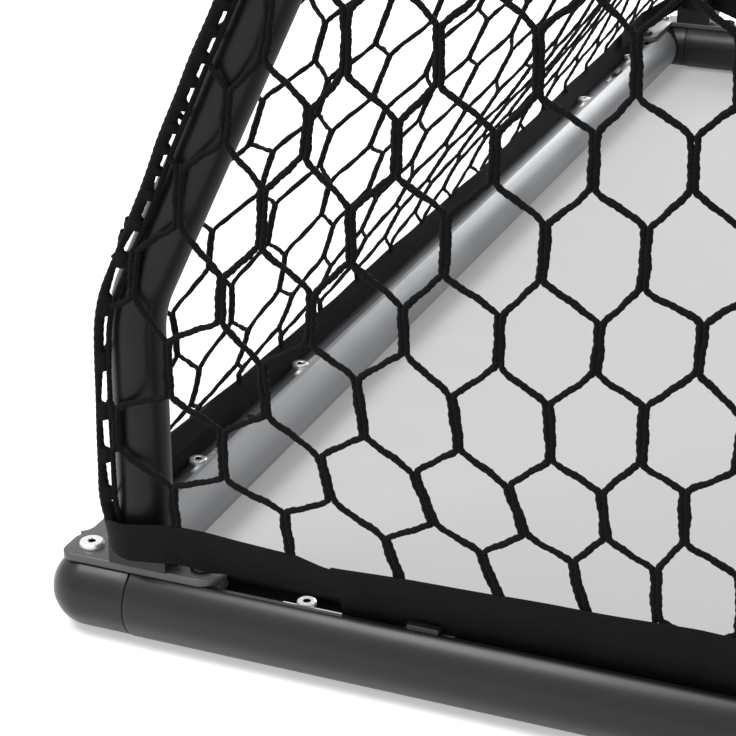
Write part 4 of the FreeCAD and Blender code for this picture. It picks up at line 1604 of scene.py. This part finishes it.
@dataclass
class RearNet(NetPanel):
    """The net behind and above, which leans over the uprights up to the crossbar."""

    margin: float = 0.001
    tail: float = 0.010

    def inside(self, points: np.ndarray) -> np.ndarray:
        """Whether panel points lie between the two side seams and the two hems."""
        a, run = points[:, 0], points[:, 1]
        half = SIZES.half_width + SIZES.net_off - self.margin
        return (np.abs(a) < half) & (run > -self.tail) & (run < REAR.run[-1])

    def on_surface(self, points: np.ndarray) -> tuple[np.ndarray, np.ndarray]:
        """Place panel points on the rear surface."""
        return REAR.at(points[:, 0], points[:, 1])


@dataclass
class SeamCords:
    """The bundle and the thin cord laced to it, where the side net meets the rear net."""

    finishes: Finishes
    lace: float = 0.0205
    upper_lace: float = 0.55
    overlap: float = 0.0010
    gathered: float = 0.20
    gather_run: float = 0.022
    sides: int = 12
    lumpy: float = 0.045

    def cord(self, piece: Piece, side: Side, outwards: np.ndarray, radius: np.ndarray, swell: np.ndarray,
             seed: float) -> None:
        """Add one cord of a seam.

        Args:
            piece: The seam's mesh.
            side: The half of the object.
            outwards: Its distance out from the upright's axis along the seam.
            radius: Its radius along the seam.
            swell: How far it swells towards the upright along the seam.
            seed: Shifts its lumps.
        """
        run = SEAM.run
        gather = 1.0 - self.gathered * np.clip(1.0 - run / self.gather_run, 0.0, 1.0) ** 2
        x = side.value * (SIZES.half_width + SIZES.net_off * gather)
        path = np.column_stack([x, SEAM.axis + SEAM.normal * (outwards * gather)[:, None]])
        normals = np.tile(np.array([float(side.value), 0.0, 0.0]), (len(run), 1))
        slow = 1.0 + 0.04 * np.sin(run * 173.0 + seed * 2.0)[:, None]
        inwards = np.clip(-side.value * np.cos(ring_angles(self.sides)), 0.0, 1.0) ** 3
        radii = radius[:, None] * lumps(run, self.sides, self.lumpy, seed) * slow + swell[:, None] * inwards
        piece.strand(tube_around(path, normals, radii, self.sides), run + seed)

    def build(self) -> list[bpy.types.Object]:
        """Make the cords of both sides."""
        made = []
        run = SEAM.run
        pace = np.interp(SEAM.axis[:, 1], (0.195, 0.225), (self.lace, self.lace * self.upper_lace))
        phase = np.concatenate([[0.0], np.cumsum(np.diff(run) / pace[1:])]) * math.pi
        turn = np.abs(np.cos(phase + 0.7 * np.sin(run * 37.0)))
        swell = (SEAM.slit + self.overlap) * eased(np.clip((turn - 0.78) / 0.14, 0.0, 1.0))
        radius = SEAM.bundle / 2
        inner_r, even = np.full(len(run), SEAM.inner_r), np.zeros(len(run))
        for side in Side:
            piece = Piece("seam_cords_" + side.word)
            self.cord(piece, side, SEAM.edge - radius, radius, swell, 0.0)
            self.cord(piece, side, SEAM.inner_at, inner_r, even, 2.0)
            made.append(piece.finish(self.finishes.twine, (), "net", sharp=180.0))
        return made


@dataclass
class Nets:
    """All the netting."""

    finishes: Finishes

    def build(self) -> list[bpy.types.Object]:
        """Make the side nets, the rear net and their seams."""
        made = []
        for side in Side:
            lattice = SideLattice(width=0.0400, pitch=0.0380, origin=(0.1815, 0.0625))
            net = SideNet("side_twine_" + side.word, lattice, range(-7, 8), range(-1, 21), side=side)
            made.append(net.build(self.finishes.twine, ("side_net_" + side.word,)))
        lattice = RearLattice(width=0.0543, pitch=0.03775, origin=(-0.0030, -0.0212))
        rear = RearNet("rear_twine", lattice, range(-11, 14), range(-1, 26), twine_r=0.00112, pair=0.00088,
                       step=0.0021, sides=7)
        made.append(rear.build(self.finishes.twine, ("rear_net_lower", "rear_net_upper", "top_net")))
        made += SeamCords(self.finishes).build()
        return made


@dataclass
class Dressing:
    """Finishes of the frame's own pieces that keep their shape."""

    finishes: Finishes

    def build(self) -> None:
        """Give each kept node its finish."""
        f = self.finishes
        by_start = (("front_angle_plate", f.plate), ("foot_socket", f.casting), ("top_socket", f.casting),
                    ("lock_screws", f.black_steel), ("slot_nuts", f.plated))
        for node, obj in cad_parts.items():
            for start, material in by_start:
                if node.startswith(start):
                    for slot in obj.material_slots:
                        slot.material = material
                    LOG.info("%s dressed as %s", node, material.name)


@dataclass
class Studio:
    """Floor, lamps, surround and camera."""

    eye: tuple[float, float, float] = (-1.2427, -0.2172, 0.5094)
    ahead: tuple[float, float, float] = (0.8455, 0.3436, -0.4087)
    aside: tuple[float, float, float] = (0.3765, -0.9264, 0.0)
    lens: float = 104.38
    sensor: float = 36.0
    clip: float = 0.02
    floor_half: float = 14.0
    soft_light: float = 0.55

    def floor(self) -> None:
        """Lay the floor."""
        mesh = bpy.data.meshes.new("floor")
        r = self.floor_half
        mesh.from_pydata([(-r, -r, 0), (r, -r, 0), (r, r, 0), (-r, r, 0)], [], [(0, 1, 2, 3)])
        mesh.materials.append(PaleFloor().material())
        add_object("floor", mesh)

    def lamp(self, name: str, where: tuple[float, float, float], aim: tuple[float, float, float],
             size: float, power: float) -> None:
        """Hang a square soft lamp.

        Args:
            name: Its name.
            where: Its place.
            aim: The point that it shines at.
            size: Its side in metres.
            power: Its power in watts.
        """
        data = bpy.data.lights.new(name, "AREA")
        data.size, data.energy = size, power
        obj = add_object(name, data)
        obj.location = where
        obj.rotation_euler = (Vector(aim) - Vector(where)).to_track_quat("-Z", "Y").to_euler()
        obj.visible_camera = False

    def surround(self) -> None:
        """A white surround that gives the object a plain soft light."""
        g = NodeGraph(bpy.data.worlds.new("surround"))
        back = g.tree.nodes["Background"].inputs
        back["Color"].default_value = (1.0, 1.0, 1.0, 1.0)
        g.link(g.spread(g.seen(), 0.0, 1.0, self.soft_light, 1.0), back["Strength"])
        bpy.context.scene.world = g.owner

    def camera(self) -> None:
        """Set the camera up."""
        data = bpy.data.cameras.new("camera")
        data.lens, data.sensor_width, data.clip_start = self.lens, self.sensor, self.clip
        forward, right = Vector(self.ahead).normalized(), Vector(self.aside).normalized()
        obj = add_object("camera", data)
        obj.matrix_world = placed(right, right.cross(forward), -forward, Vector(self.eye))
        bpy.context.scene.camera = obj

    def build(self) -> None:
        """Set up the whole studio."""
        self.floor()
        self.lamp("overhead", where=(-1.10, 0.75, 2.1), aim=(-0.35, 0.1, 0.05), size=1.2, power=48.0)
        self.lamp("far_side", where=(1.32, 0.06, 0.50), aim=(0.20, 0.20, 0.0), size=0.6, power=13.5)
        self.surround()
        self.camera()
        bpy.context.scene.view_settings.view_transform = "Standard"


def main() -> None:
    """Build every piece in order, then set up the studio."""
    logging.basicConfig(level=logging.INFO, format="%(name)s: %(message)s")
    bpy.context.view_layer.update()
    finishes = Finishes()
    Dressing(finishes).build()
    for assembly in (Rails, Uprights, Elbows, CornerPlates, SocketScrews, Clips, Webbing, Nets):
        made = assembly(finishes).build()
        LOG.info("%s: %d pieces", assembly.__name__, len(made))
    Studio().build()


if __name__ == "__main__":
    main()
